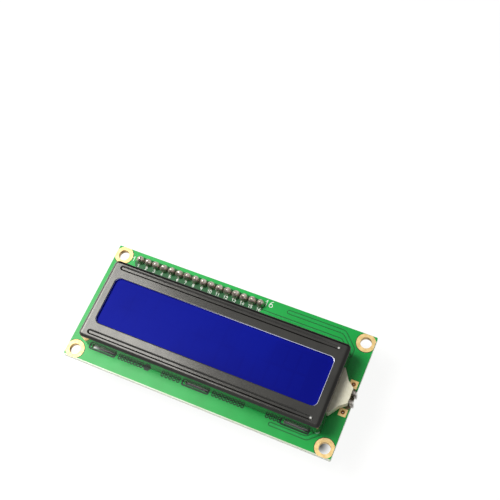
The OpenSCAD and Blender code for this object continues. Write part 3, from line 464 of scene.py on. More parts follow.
finishes = {
    "greenBoard": maskedBoard(
        "greenMask", tint(15, 172, 72), tint(11, 162, 64), (tint(246, 248, 236), tint(232, 236, 214)),
        boardLow, boardHigh, 0.31, 0.28, lip=0.3,
    ),
    "blackBoard": maskedBoard(
        "blackMask", tint(20, 19, 24), tint(14, 13, 18), (tint(92, 84, 60), tint(64, 58, 42)),
        adapterLow, adapterHigh, 0.42, 0.12,
    ),
    "steel": paintedSteel(),
    "display": displayFilm(),
    "glass": clearGlass(),
    "solder": solderMetal("solder", tint(196, 193, 186), tint(150, 146, 138), 0.22),
    "dullSolder": solderMetal("dullSolder", tint(150, 146, 140), tint(104, 98, 94), 0.30),
    "tin": platedMetal("tinPlate", tint(205, 203, 198), tint(178, 176, 170), 0.24),
    "goldRing": platedMetal("goldRing", tint(208, 182, 130), tint(190, 162, 108), 0.46),
    "goldLand": platedMetal("goldLand", tint(214, 184, 132), tint(198, 164, 108), 0.42),
    "bareLand": platedMetal("bareLand", tint(146, 96, 46), tint(118, 72, 30), 0.42, 0.5),
    "pin": platedMetal("goldPin", tint(238, 226, 196), tint(222, 204, 164), 0.26),
    "header": mouldedPlastic("headerPlastic", tint(36, 34, 36), tint(26, 24, 26), 0.42),
    "cap": mouldedPlastic("capPlastic", tint(62, 60, 60), tint(48, 46, 47), 0.46),
    "epoxy": mouldedPlastic("epoxy", tint(18, 15, 16), tint(12, 10, 11), 0.3, 0.003, 0.2),
    "chip": mouldedPlastic("chipPlastic", tint(66, 66, 62), tint(54, 54, 51), 0.52, 0.03),
    "resistor": mouldedPlastic("resistorGlaze", tint(38, 35, 34), tint(26, 24, 24), 0.28, 0.01, 0.6),
    "trimmer": mouldedPlastic("trimmerPlastic", tint(64, 142, 232), tint(54, 128, 220), 0.38, 0.015),
    "rotor": slottedRotor(),
    "lamp": mouldedPlastic("lampPlastic", tint(244, 242, 228), tint(232, 228, 208), 0.30, 0.01, 0.6),
    "sideLamp": mouldedPlastic("sideLampPlastic", tint(226, 218, 176), tint(206, 196, 150), 0.30),
    "capacitor": mouldedPlastic("ceramic", tint(214, 168, 116), tint(190, 142, 92), 0.40, 0.01),
    "guide": mouldedPlastic("guideAcrylic", tint(240, 237, 214), tint(232, 228, 202), 0.30, 0.006, 0.55),
    "whiteFilm": mouldedPlastic("whiteFilm", tint(240, 240, 236), tint(230, 230, 224), 0.55, 0.01),
    "greyFilm": mouldedPlastic("greyFilm", tint(80, 84, 96), tint(66, 70, 84), 0.25, 0.004),
    "rubber": mouldedPlastic("stripRubber", tint(206, 150, 160), tint(186, 128, 140), 0.70, 0.03),
    "ink": printedInk("whiteInk", tint(240, 246, 238), tint(196, 226, 204)),
    "inkOnBlack": printedInk("whiteInkOnBlack", tint(236, 236, 232), tint(196, 196, 194)),
    "dialInk": printedInk("dialInk", tint(18, 44, 96), tint(30, 62, 128)),
    "trackGapAndShadow": maskTone("trackGapAndShadow", tint(10, 92, 42), tint(8, 82, 36)),
    "trackRidge": maskTone("trackRidge", tint(30, 172, 82), tint(24, 162, 74)),
    "maskMild": maskTone("maskMild", tint(12, 148, 66), tint(10, 138, 60), 0.31),
    "copperPour": maskTone("copperPour", tint(48, 192, 100), tint(38, 182, 88), 0.31),
    "tinnedPin": platedMetal("tinnedPin", tint(222, 214, 202), tint(200, 190, 176), 0.26),
    "leadTin": platedMetal("leadTin", tint(222, 212, 196), tint(196, 184, 164), 0.36, 0.4),
    "landSolder": solderMetal("landSolder", tint(150, 142, 130), tint(118, 110, 98), 0.3, 0.6),
    "viaDark": maskTone("viaDark", tint(7, 44, 24), tint(5, 36, 20)),
    "fillet": solderMetal("fillet", tint(208, 198, 188), tint(142, 126, 116), 0.20, 0.8),
    "flux": maskTone("flux", tint(172, 156, 124), tint(124, 108, 78), 0.24),
    "holeWallShade": platedMetal("holeWallShade", tint(128, 82, 40), tint(92, 54, 24), 0.4),
}

wearing = {
    "main_board": "greenBoard", "mounting_rings": "goldRing", "backlight_lands": "goldLand",
    "tab_lands": "bareLand", "bare_lands": "bareLand", "bezel": "steel",
    "front_polarizer": "display", "front_glass": "glass", "rear_glass": "glass",
    "rear_polarizer": "greyFilm", "upper_contact_strip": "rubber", "lower_contact_strip": "rubber",
    "diffuser_film": "whiteFilm", "light_guide": "guide", "reflector_tray": "whiteFilm",
    "backlight_lamp": "sideLamp", "backlight_leads": "tin", "lead_solder": "dullSolder",
    "row_pins": "tinnedPin", "row_strip": "header", "row_front_solder": "dullSolder",
    "row_rear_solder": "solder", "controller_dome": "epoxy", "driver_dome": "epoxy",
    "board_resistors": "resistor", "board_resistor_ends": "solder", "link_solder": "solder",
    "adapter_board": "blackBoard", "expander_body": "chip", "expander_leads": "leadTin",
    "expander_lands": "landSolder", "trimmer_body": "trimmer", "trimmer_rotor": "rotor",
    "trimmer_pins": "tin", "jumper_base": "header", "jumper_pins": "pin", "jumper_cap": "cap",
    "jumper_contact": "dullSolder", "bus_base": "header", "bus_pins": "tinnedPin",
    "transistor_body": "chip", "transistor_leads": "leadTin", "power_lamp": "lamp",
    "power_lamp_ends": "solder", "chip_capacitor": "capacitor", "chip_capacitor_ends": "solder",
    "adapter_resistors": "resistor", "adapter_resistor_ends": "solder",
    "address_lands": "solder", "adapter_joints": "solder",
}
for node, finish in wearing.items():
    nodes[node].data.materials.clear()
    nodes[node].data.materials.append(finishes[finish])
print("finishes on", len(wearing), "nodes")


ridge = {"shoulder": 0.72, "sunk": -0.01, "taper": 4, "tip": 0.02}


def gridMesh(grid, wrapRows=False):
    # rows by columns of points joined by four-sided faces, each from a point to the next row, across to
    # the next column and back: it looks up where rows run away and columns run left
    rows, columns = grid.shape[:2]
    index = np.arange(rows * columns).reshape(rows, columns)
    if wrapRows:
        index = np.vstack([index, index[:1]])
    faces = np.stack([index[:-1, :-1], index[1:, :-1], index[1:, 1:], index[:-1, 1:]], -1)
    return grid.reshape(-1, 3), faces.reshape(-1, 4)


def strip(path, width, height, closed=False):
    # a low ridge along a path: point = path point + sideways direction times half the width times its
    # share, the two outer points sunk in the board and the two inner ones at the height; an open end
    # goes on by half the width times the sine while its half width shrinks with the cosine
    p = np.array(path, float)
    step = np.diff(np.vstack([p, p[:1]]) if closed else p, axis=0)
    step /= np.linalg.norm(step, axis=1)[:, None]
    if closed:
        before, after = np.roll(step, 1, axis=0), step
    else:
        before, after = np.vstack([step[:1], step]), np.vstack([step, step[-1:]])
    along = before + after
    along /= np.linalg.norm(along, axis=1)[:, None]
    reach = 1 / np.clip((along * after).sum(1), 0.5, 1)
    half = np.full(len(p), width / 2) * reach
    if not closed:
        more = ridge["taper"]
        a = np.linspace(0, math.pi / 2, more + 1)[1:]
        head = p[0] - step[0] * (np.sin(a) * width / 2)[::-1, None]
        tail = p[-1] + step[-1] * (np.sin(a) * width / 2)[:, None]
        narrow = np.maximum(np.cos(a) * width / 2, width * ridge["tip"])
        p = np.vstack([head, p, tail])
        along = np.vstack([np.repeat(step[:1], more, 0), along, np.repeat(step[-1:], more, 0)])
        half = np.concatenate([narrow[::-1], half, narrow])
    across = np.stack([-along[:, 1], along[:, 0]], 1)
    shares = np.array([-1, -ridge["shoulder"], ridge["shoulder"], 1])
    level = np.array([ridge["sunk"], height, height, ridge["sunk"]])
    flat = p[:, None] + across[:, None] * (half[:, None] * shares)[..., None]
    grid = np.concatenate([flat, np.broadcast_to(level, flat.shape[:2])[..., None]], 2)
    return gridMesh(grid, wrapRows=closed)


def turned(centre, profile, count=24):
    # a profile of radius and height swept round the centre: x = centre + radius times cosine,
    # y = centre + radius times sine
    a = np.linspace(0, 2 * math.pi, count, endpoint=False)
    r, z = np.array(profile, float).T
    x = centre[0] + r[None] * np.cos(a)[:, None]
    y = centre[1] + r[None] * np.sin(a)[:, None]
    return gridMesh(np.stack([x, y, np.broadcast_to(z, x.shape)], 2), wrapRows=True)


def pad(centre, radius, height, hole=0.0):
    # a low round land, with or without a hole: its short profile, up, level and down, turned round
    inner = max(hole, radius * 0.02)
    edge = min(0.04, radius * 0.2)
    profile = [(radius, ridge["sunk"]), (radius - edge, height), (inner + (edge if hole else 0), height)]
    if hole:
        profile.append((inner, ridge["sunk"]))
    return turned(centre, profile)


def patch(outline, height):
    # a flat filled shape, its outline given anticlockwise: a fan of triangles from the mean of its
    # points, and a wall from its outline down into the board
    p = np.array(outline, float)
    count = len(p)
    middle = np.append(p.mean(0), height)
    rim = np.hstack([p, np.full((count, 1), height)])
    skirt = np.hstack([p, np.full((count, 1), ridge["sunk"])])
    i = np.arange(count)
    j = (i + 1) % count
    top = np.stack([np.full(count, 2 * count), i, j, j], 1)
    side = np.stack([i, i + count, j + count, j], 1)
    return np.vstack([rim, skirt, middle[None]]), np.vstack([top, side])


def arc(centre, radius, start, stop, count=10):
    # points of a circle: centre + radius times cosine and sine of angles in degrees
    a = np.radians(np.linspace(start, stop, count))
    return np.stack([centre[0] + radius * np.cos(a), centre[1] + radius * np.sin(a)], 1)


def bent(path, radius, count=4):
    # a path with each inner corner rounded: (1 - t) squared times the point where the curve leaves, plus
    # 2 t (1 - t) times the corner, plus t squared times the point where it comes back
    p = np.array(path, float)
    rows = [p[:1]]
    for before, corner, after in zip(p[:-2], p[1:-1], p[2:]):
        back, on = before - corner, after - corner
        reach = min(radius, np.linalg.norm(back) * 0.45, np.linalg.norm(on) * 0.45)
        a = corner + back / np.linalg.norm(back) * reach
        b = corner + on / np.linalg.norm(on) * reach
        t = np.linspace(0, 1, count)[:, None]
        rows.append((1 - t) ** 2 * a + 2 * t * (1 - t) * corner + t ** 2 * b)
    rows.append(p[-1:])
    return np.vstack(rows)


def box(x0, x1, y0, y1):
    return [(x0, y0), (x1, y0), (x1, y1), (x0, y1)]


def onFront(points):
    return points + np.array([0.0, 0.0, boardHigh[2]])


def onBack(points):
    # seen from behind: turned half round the upright axis and stood on the rear face
    return np.stack([-points[:, 0], points[:, 1], boardLow[2] - points[:, 2]], 1)


def onAdapter(points):
    # along the adapter from its jumper end and up from its lower edge, on its outer face
    return np.stack(
        [adapterHigh[0] - points[:, 0], adapterLow[1] + points[:, 1], adapterLow[2] - points[:, 2]], 1
    )


crossing = {"step": 0.001, "count": 13}


def makePiece(name, chunks, place, finish, smooth=False):
    # each chunk's top lies a thousandth of a millimetre off the last one's, so that none share a plane
    verts, faces, start = [], [], 0
    for k, (points, quads) in enumerate(chunks):
        lift = np.where(points[:, 2:] > 0, crossing["step"] * (k % crossing["count"]), 0.0)
        verts.append(place(points + lift * np.array([[0.0, 0.0, 1.0]])) * mm)
        faces.append(quads + start)
        start += len(points)
    verts, faces = np.vstack(verts), np.vstack(faces)
    triangle = faces[:, 2] == faces[:, 3]
    sizes = np.where(triangle, 3, 4)
    keep = np.ones(faces.shape, bool)
    keep[triangle, 3] = False
    starts = np.concatenate([[0], np.cumsum(sizes)[:-1]])
    mesh = bpy.data.meshes.new(name)
    mesh.vertices.add(len(verts))
    mesh.vertices.foreach_set("co", verts.astype(np.float32).ravel())
    mesh.loops.add(int(sizes.sum()))
    mesh.loops.foreach_set("vertex_index", faces[keep].astype(np.int32))
    mesh.polygons.add(len(faces))
    mesh.polygons.foreach_set("loop_start", starts.astype(np.int32))
    mesh.polygons.foreach_set("use_smooth", np.full(len(faces), smooth))
    mesh.update(calc_edges=True)
    mesh.validate()
    piece = bpy.data.objects.new(name, mesh)
    bpy.context.scene.collection.objects.link(piece)
    mesh.materials.append(finishes[finish])
    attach(piece, "module")
    return piece


ink = {"height": 0.022, "spacing": 0.78}
track = {"gap": 0.012, "gapWidth": 0.26, "ridge": 0.03, "width": 0.34, "shade": 0.002}


def printed(path, width, closed=False):
    return strip(path, width, ink["height"], closed=closed)


def dipped(path, width=track["gapWidth"]):
    # the mask dips and darkens beside a track
    return strip(path, width, track["gap"])


def raised(path, width=track["width"]):
    # the mask rises over a track
    return strip(path, width, track["ridge"])


# each figure is one or more strokes in a box 0.6 wide and 1 tall
strokes = {
    "0": [bent([(0.3, 0), (0.02, 0), (0.02, 1), (0.58, 1), (0.58, 0), (0.3, 0)], 0.3)],
    "1": [[(0.08, 0.72), (0.32, 1), (0.32, 0)]],
    "2": [np.vstack([arc((0.3, 0.72), 0.27, 170, -35), [(0.02, 0), (0.58, 0)]])],
    "3": [np.vstack([arc((0.28, 0.75), 0.25, 150, -90), arc((0.28, 0.26), 0.26, 90, -150)])],
    "4": [[(0.45, 0), (0.45, 1), (0.02, 0.3), (0.6, 0.3)]],
    "5": [np.vstack([[(0.52, 1), (0.1, 1), (0.06, 0.55)], arc((0.28, 0.32), 0.3, 110, -150)])],
    "6": [arc((0.95, 0.2), 0.93, 122, 176, 8), arc((0.3, 0.29), 0.28, 0, 360, 16)],
    "7": [[(0.02, 1), (0.58, 1), (0.22, 0)]],
    "8": [arc((0.3, 0.75), 0.23, -90, 270, 14), arc((0.3, 0.27), 0.27, 90, 450, 16)],
    "9": [arc((0.3, 0.71), 0.28, 0, 360, 16), [(0.58, 0.71), (0.58, 0.5), (0.4, 0.0)]],
}


def figures(text, at, tall, width):
    # plain numbers: each stroke a thin ridge of ink, closed where it comes back to its start
    made = []
    for i, sign in enumerate(text):
        for stroke in strokes[sign]:
            points = np.array(stroke, float) * tall + np.array(at) + [i * tall * ink["spacing"], 0]
            loop = np.allclose(points[0], points[-1])
            made.append(printed(points[:-1] if loop else points, width, closed=loop))
    return made


# front of the main board: pads and brackets at the bezel's lower edge, and an arc beside each ring
openings = {
    "rows": [(-24.4, -17.6, 8), (-11.0, -6.2, 5), (4.4, 13.0, 9), (20.2, 23.6, 4)],
    "y": -13.3, "radius": 0.54, "hole": 0.2,
    "brackets": [(-33.9, -25.9), (-4.9, 2.9), (24.1, 32.1)],
    "bracketTop": -12.8, "bracketFoot": -13.75, "bracketWidth": 0.55, "corner": 0.5,
    "wedge": [(-17.3, -12.9), (-16.4, -13.9), (-15.4, -13.9), (-14.6, -12.9)],
    "ringX": 37.5, "ringY": 15.5, "ringRadius": 2.78, "ringSweep": 96, "ringWidth": 0.2,
}
frontDark = []
for start, stop, count in openings["rows"]:
    for x in np.linspace(start, stop, count):
        frontDark.append(pad((x, openings["y"]), openings["radius"], track["gap"], openings["hole"]))
for x0, x1 in openings["brackets"]:
    top, foot = openings["bracketTop"], openings["bracketFoot"]
    bracket = bent([(x0, top), (x0, foot), (x1, foot), (x1, top)], openings["corner"])
    frontDark.append(dipped(bracket, openings["bracketWidth"]))
frontDark.append(patch(openings["wedge"], track["gap"]))
for sx, sy in [(-1, -1), (-1, 1), (1, -1), (1, 1)]:
    inward = math.degrees(math.atan2(-sy, -sx))
    around = arc(
        (sx * openings["ringX"], sy * openings["ringY"]), openings["ringRadius"],
        inward - openings["ringSweep"], inward + openings["ringSweep"], 40,
    )
    frontDark.append(strip(around, openings["ringWidth"], track["gap"] * 0.5))
makePiece("front_mask_openings", frontDark, onFront, "viaDark")

flux = {
    "outline": [
        (38.2, 1.9), (38.7, -0.8), (38.3, -3.3), (39.2, -3.9),
        (40.0, -3.4), (40.0, 1.6), (39.4, 2.1), (38.2, 1.9),
    ],
    "corner": 0.8,
}
makePiece("lead_flux", [patch(bent(flux["outline"], flux["corner"])[:-1], track["gap"])], onFront, "flux")

# tracks on the front: two that each start at a via between two dips, and a single one; and a painted
# shadow of the solder joints along the pin row
frontLines = {
    "corner": 0.8, "via": 0.36, "viaHole": 0.12,
    "upperVia": (14.6, 16.3), "upperTurn": 0.55,
    "upperOuter": [(14.6, 16.85), (31.2, 16.85), (35.25, 12.8), (35.25, 10.2)],
    "upperInner": [(14.6, 15.75), (30.9, 15.75), (34.2, 12.4), (34.2, 11.0)],
    "upperTrack": [(14.7, 16.3), (31.05, 16.3), (34.7, 12.6), (34.7, 11.0)],
    "lowerVia": (21.9, -14.88), "lowerTurn": 0.48,
    "lowerInner": [(22.0, -14.4), (31.8, -14.4), (34.2, -12.2)],
    "lowerOuter": [(22.0, -15.35), (32.4, -15.35), (35.0, -12.9)],
    "lowerTrack": [(22.0, -14.88), (32.1, -14.88), (34.5, -12.6)],
    "singleDip": [(6.6, 14.3), (31.0, 14.3), (33.4, 11.9)],
    "singleTrack": [(8.2, 14.02), (30.6, 14.02)], "singleWidth": 0.3,
    "rowShadow": [(-31.4, 14.95), (5.2, 14.95)], "rowShadowWidth": 4.3,
}
frontGapsAndShadow = [
    dipped(bent(frontLines["upperOuter"], frontLines["corner"])),
    dipped(bent(frontLines["upperInner"], frontLines["corner"])),
    dipped(arc(frontLines["upperVia"], frontLines["upperTurn"], 90, 270, 12)),
    dipped(bent(frontLines["singleDip"], frontLines["corner"])),
    dipped(bent(frontLines["lowerInner"], frontLines["corner"])),
    dipped(bent(frontLines["lowerOuter"], frontLines["corner"])),
    dipped(arc(frontLines["lowerVia"], frontLines["lowerTurn"], 90, 270, 12)),
    # painted shadow of the solder joints along the pin row
    strip(frontLines["rowShadow"], frontLines["rowShadowWidth"], track["gap"] * 0.7),
]
frontRidges = [
    raised(bent(frontLines["upperTrack"], frontLines["corner"])),
    raised(bent(frontLines["lowerTrack"], frontLines["corner"])),
    raised(frontLines["singleTrack"], frontLines["singleWidth"]),
    pad(frontLines["upperVia"], frontLines["via"], track["ridge"], frontLines["viaHole"]),
    pad(frontLines["lowerVia"], frontLines["via"], track["ridge"], frontLines["viaHole"]),
]
makePiece("front_track_gaps_and_row_shadow", frontGapsAndShadow, onFront, "trackGapAndShadow")
makePiece("front_tracks", frontRidges, onFront, "trackRidge")

# a dark ring round each land's hole: painted shade of the plated hole wall
rims = {"x": 38.5, "y": (3.3, -4.9), "radius": 0.6, "height": 0.065, "hole": 0.14}
landHoleShades = [pad((rims["x"], y), rims["radius"], rims["height"], rims["hole"]) for y in rims["y"]]
makePiece("land_hole_shades", landHoleShades, onFront, "holeWallShade")

blobs = {"x": 39.66, "y": (0.42, -2.38), "radius": 0.74, "lead": 0.01, "tall": 1.5}


def leadBlobs():
    # each blob is a quarter of an ellipse turned round the lead: radius = the lead's + the blob's times
    # cosine, height = tall times sine
    a = np.linspace(0, math.pi / 2, 8)
    profile = np.stack([blobs["radius"] * np.cos(a) + blobs["lead"], blobs["tall"] * np.sin(a)], 1)
    return [turned((blobs["x"], y), profile) for y in blobs["y"]]


makePiece("lead_joints", leadBlobs(), onFront, "dullSolder", smooth=True)

pinRow = {"first": -32.0, "pitch": 2.54, "count": 16}
numbers = {
    "large": [("16", (7.1, 15.7), 1.75, 0.24), ("1", (-34.6, 14.9), 1.3, 0.22)],
    "y": 13.55, "tall": 0.86, "line": 0.18, "back": 0.28,
}
frontInk = []
for text, at, tall, line in numbers["large"]:
    frontInk += figures(text, at, tall, line)
for i in range(pinRow["count"]):
    text = str(i + 1)
    x = pinRow["first"] + i * pinRow["pitch"] - len(text) * numbers["back"]
    frontInk += figures(text, (x, numbers["y"]), numbers["tall"], numbers["line"])
makePiece("front_numbers", frontInk, onFront, "ink")
print("front of the board printed")

fillets = {
    "base": 1.23, "neck": 0.34, "height": 2.05, "pin": 0.3, "y": 15.68, "pinY": 15.5, "seed": 7,
    "swell": (-0.06, 0.03), "lean": 0.12, "taller": (-0.08, 0.06), "waves": (0.04, 0.03),
}


def solderFillets():
    # each joint is a full-bellied profile turned round its pin: radius = neck + (base - neck) times
    # (1 - rise to the power 2.4) to the power 0.62, wavy round the pin and leaning a little
    varied = np.random.default_rng(fillets["seed"])
    turn = np.linspace(0, 2 * math.pi, 28, endpoint=False)
    rise = np.linspace(0, 1, 12)
    neck, lean = fillets["neck"], fillets["lean"]
    chunks = []
    for i in range(pinRow["count"]):
        base = fillets["base"] * (1 + varied.uniform(*fillets["swell"]))
        leanX, leanY = varied.uniform(-lean, lean, 2)
        wave = 1 + fillets["waves"][0] * np.sin(turn * 2 + varied.uniform(0, 6))
        wave = wave + fillets["waves"][1] * np.sin(turn * 3 + varied.uniform(0, 6))
        tall = fillets["height"] * (1 + varied.uniform(*fillets["taller"]))
        radius = neck + (base - neck) * (1 - rise ** 2.4) ** 0.62
        radius = np.concatenate([radius, [neck * 0.86, fillets["pin"]]])
        z = np.concatenate([tall * rise, [tall + 0.06, tall + 0.07]])
        r = radius[None] * np.where(radius > neck, wave[:, None], 1.0)
        share = (z / tall)[None]
        x = pinRow["first"] + i * pinRow["pitch"] + r * np.cos(turn)[:, None] + leanX * share
        y = fillets["y"] + r * np.sin(turn)[:, None] + (leanY + fillets["pinY"] - fillets["y"]) * share
        chunks.append(gridMesh(np.stack([x, y, np.broadcast_to(z, x.shape)], 2), wrapRows=True))
    return chunks


joints = makePiece("row_front_fillets", solderFillets(), onFront, "fillet", smooth=True)
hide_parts("row_front_solder")
print("front joints soldered")

# back of the main board: each printed shape is a path, its width and whether it closes
rearMarks = {
    "line": 0.3, "plusLine": 0.26, "hatchLine": 0.12,
    "rings": (-31.7, -29.15, -26.6), "ringY": 5.4, "ringRadius": 1.42,
    "shapes": [
        (box(-30.4, -27.5, -1.0, 4.0), 0.3, True),
        (arc((-28.95, 4.0), 0.75, 180, 360), 0.3, False),
        (box(-32.6, -26.1, -4.4, -1.45), 0.3, True),
        (box(-32.6, -26.1, -8.0, -5.05), 0.3, True),
        ([(-26.35, -4.2), (-26.35, -1.65)], 0.5, False),
        ([(-26.35, -7.8), (-26.35, -5.25)], 0.5, False),
        (box(20.8, 25.6, -8.0, -3.35), 0.3, True),
        ([(20.8, -5.8), (25.6, -5.8)], 0.3, False),
        (box(29.1, 34.1, -8.4, -1.9), 0.3, True),
        ([(29.1, -3.9), (34.1, -3.9)], 0.3, False),
        ([(29.1, -6.1), (34.1, -6.1)], 0.3, False),
    ],
    "plusX": -24.4, "plusY": (-3.2, -6.8), "plusHalf": 0.6,
    "clampX": -19.2, "clampNear": 1.4, "clampFar": 3.25, "clampTop": 13.8, "clampFoot": 11.05,
    "hatch": [(-30.0, 2.9), (-28.4, 0.6)], "hatchStep": [(0.6, -0.15), (0.25, -0.25)], "hatchCount": 4,
}
rearInk = []
for x in rearMarks["rings"]:
    ring = arc((x, rearMarks["ringY"]), rearMarks["ringRadius"], 0, 360, 33)[:-1]
    rearInk.append(printed(ring, rearMarks["line"], closed=True))
for path, width, closed in rearMarks["shapes"]:
    rearInk.append(printed(path, width, closed))
for y in rearMarks["plusY"]:
    x, half = rearMarks["plusX"], rearMarks["plusHalf"]
    rearInk.append(printed([(x - half, y), (x + half, y)], rearMarks["plusLine"]))
    rearInk.append(printed([(x, y - half), (x, y + half)], rearMarks["plusLine"]))
for sx in (-1, 1):
    near, far = (rearMarks["clampX"] + sx * rearMarks[end] for end in ("clampNear", "clampFar"))
    top, foot = rearMarks["clampTop"], rearMarks["clampFoot"]
    rearInk.append(printed([(near, top), (far, top), (far, foot), (near, foot)], rearMarks["line"]))
for k in range(rearMarks["hatchCount"]):
    path = np.array(rearMarks["hatch"]) + k * np.array(rearMarks["hatchStep"])
    rearInk.append(printed(path, rearMarks["hatchLine"]))
makePiece("rear_outlines", rearInk, onBack, "ink")

shades = {
    "zones": [
        [(-23.9, 6.4), (-23.9, -13.3), (-19.3, -13.3), (-19.3, 6.4)],
        [(-17.4, 7.2), (-18.0, 8.0), (-22.8, 8.0), (-23.4, 6.6), (-19.3, 6.4)],
        [(-4.2, -13.2), (-4.2, -6.6), (-8.6, -6.6), (-12.4, -10.6), (-12.6, -13.2)],
        [(4.6, -6.4), (6.6, -2.0), (-5.6, -2.0), (-8.6, -6.4)],
        [(5.9, -9.6), (5.9, -13.3), (10.9, -13.3), (10.9, -9.6)],
        [(17.5, -9.2), (17.5, -13.3), (24.8, -13.3), (24.8, -9.2)],
        arc((12.5, -11.2), 4.6, 0, 360, 40)[:-1],
    ],
    "pour": [
        [(-19.0, -9.9), (-19.0, -13.5), (-13.7, -13.5), (-12.6, -10.2)],
        [(-18.4, 5.6), (-18.4, 1.4), (-16.9, 3.2), (-16.6, 5.2)],
    ],
}
rearMild = [patch(zone, track["shade"]) for zone in shades["zones"]]
rearPour = [patch(zone, track["shade"]) for zone in shades["pour"]]
makePiece("rear_mask_shades", rearMild, onBack, "maskMild")
makePiece("rear_copper_pour", rearPour, onBack, "copperPour")

# sets of lines: the first one's points, how far each point moves from one line to the next, and
# stagger, which shifts one point up by an amount times the line's place in a short cycle
rearLines = {
    "fine": 0.17, "via": 0.3, "viaHole": 0.1, "viaRise": 0.002,
    "dips": [
        ([(-36.6, 4.6), (-36.6, 10.9), (-34.2, 13.4), (-12.5, 13.4)], 1.2, 0.26),
        ([(-37.5, 4.6), (-37.5, 11.3), (-34.5, 14.3), (-12.0, 14.3)], 1.2, 0.26),
        ([(-34.2, 7.0), (-34.2, 1.2), (-33.0, 0.3)], 0.8, 0.26),
        ([(-14.6, 16.4), (-13.6, 16.0), (-12.2, 14.4)], 0.6, 0.4),
        ([(-24.2, -3.6), (-24.2, -6.2)], 0.6, 0.26),
    ],
    "withVias": [
        {
            "count": 8, "corner": 1.0, "stagger": (3, 3, 0.9),
            "first": [(-18.4, 7.9), (-22.4, 7.7), (-23.5, 6.2), (-23.5, -12.9)],
            "step": [(0.12, -0.42), (0.52, -0.4), (0.52, -0.34), (0.52, 0.0)],
        },
        {
            "count": 10, "corner": 0.9, "stagger": (2, 3, 0.7),
            "first": [(-3.0, -1.9), (-7.6, -6.6), (-12.3, -10.4), (-12.3, -12.9)],
            "step": [(0.92, 0.0), (0.72, -0.1), (0.84, -0.08), (0.84, 0.0)],
        },
        {
            "count": 5, "corner": 0.4, "stagger": (2, 0, -0.4),
            "first": [(6.7, -9.8), (6.3, -10.7), (6.3, -12.9)],
            "step": [(1.0, 0.0), (1.0, 0.0), (1.0, 0.0)],
        },
        {
            "count": 8, "corner": 0.8,
            "first": [(15.5, -6.9), (17.3, -9.2), (17.9, -10.4), (17.9, -12.9)],
            "step": [(0.92, -0.1), (0.92, 0.0), (0.92, 0.0), (0.92, 0.0)],
        },
    ],
    "arcs": {
        "centre": (-10.7, 0.9), "radius": 6.4, "step": 0.42,
        "start": 196, "stop": 262, "shorter": 3, "count": 9,
    },
    "long": {
        "count": 4, "corner": 1.2, "width": 0.24,
        "first": [
            (-24.1, -9.0), (-24.1, -12.9), (-23.0, -14.15), (32.6, -14.15), (35.2, -11.55), (35.2, -8.8),
        ],
        "step": [(-0.16, 0.0), (-0.16, -0.3), (0.3, -0.74), (0.3, -0.74), (0.5, -0.44), (0.5, 0.2)],
    },
    "raised": [
        {
            "count": 3, "corner": 1.2, "width": 0.3,
            "first": [(-22.6, -14.52), (32.8, -14.52), (35.45, -11.82), (35.45, -8.4)],
            "step": [(0.3, -0.74), (0.3, -0.74), (0.5, -0.44), (0.5, 0.0)],
        },
        {
            "count": 2, "corner": 0.8, "width": 0.26,
            "first": [(36.3, -9.0), (35.4, -7.4), (35.4, 11.8)],
            "step": [(0.7, 0.0), (0.7, 0.0), (0.7, 0.0)],
        },
        {
            "count": 1, "corner": 0.5, "width": 0.26,
            "first": [(36.9, 4.0), (36.9, 1.2)],
            "step": [(0.0, 0.0), (0.0, 0.0)],
        },
    ],
    "lastVia": (36.9, 0.9), "lastRadius": 0.34, "lastHole": 0.12,
}


def lineSet(lines):
    # path k = the first path + k times the step, with its corners rounded
    cycle, moved, amount = lines.get("stagger", (1, 0, 0.0))
    paths = []
    for k in range(lines["count"]):
        path = np.array(lines["first"]) + k * np.array(lines["step"])
        path[moved, 1] += (k % cycle) * amount
        paths.append(bent(path, lines["corner"]))
    return paths


rearGaps = [dipped(bent(path, corner), width) for path, corner, width in rearLines["dips"]]
viaHeight = track["gap"] + rearLines["viaRise"]
for lines in rearLines["withVias"]:
    for path in lineSet(lines):
        rearGaps.append(dipped(path, rearLines["fine"]))
        rearGaps.append(pad(path[-1], rearLines["via"], viaHeight, rearLines["viaHole"]))
sweep = rearLines["arcs"]
for k in range(sweep["count"]):
    radius, stop = sweep["radius"] + k * sweep["step"], sweep["stop"] - k * sweep["shorter"]
    rearGaps.append(dipped(arc(sweep["centre"], radius, sweep["start"], stop, 16), rearLines["fine"]))
rearGaps += [dipped(path, rearLines["long"]["width"]) for path in lineSet(rearLines["long"])]
makePiece("rear_track_gaps", rearGaps, onBack, "trackGapAndShadow")

rearTracks = []
for lines in rearLines["raised"]:
    rearTracks += [raised(path, lines["width"]) for path in lineSet(lines)]
rearTracks.append(pad(rearLines["lastVia"], rearLines["lastRadius"], track["ridge"], rearLines["lastHole"]))
makePiece("rear_tracks", rearTracks, onBack, "trackRidge")
print("back of the board printed")

# adapter board: shapes as on the back, then the middles of the small parts with a line round them, and
# for each sort half its width, half its height and its corner
adapterMarks = {
    "shapes": [
        (box(0.25, 41.25, 0.25, 18.75), 0.22, True),
        (box(0.9, 40.6, 15.85, 18.55), 0.26, True),
        (bent([(0.6, 8.6), (3.4, 8.6), (3.4, 13.8), (0.6, 13.8)], 0.2), 0.26, False),
        (box(28.2, 36.0, 6.9, 15.3), 0.26, True),
        ([(17.2, 4.35), (25.6, 4.35)], 0.26, False),
        ([(17.2, 15.05), (25.6, 15.05)], 0.26, False),
        ([(17.2, 4.35), (17.2, 4.75)], 0.26, False),
        ([(25.6, 4.35), (25.6, 4.75)], 0.26, False),
        ([(39.0, 3.6), (41.0, 3.6)], 0.26, False),
    ],
    "upright": [(9.7, 11.6), (12.2, 11.6), (4.8, 6.2), (7.4, 6.2), (9.9, 6.2), (12.4, 6.2)],
    "uprightSize": (1.05, 2.15, 0.5),
    "lying": [(11.4, 2.1), (15.9, 2.1), (20.6, 2.1)],
    "lyingSize": (2.15, 1.0, 0.4),
    "pairs": (30.5, 33.0, 35.4), "pairHalf": 0.9, "pairLow": 1.15, "pairHigh": 4.65,
    "line": 0.22,
}


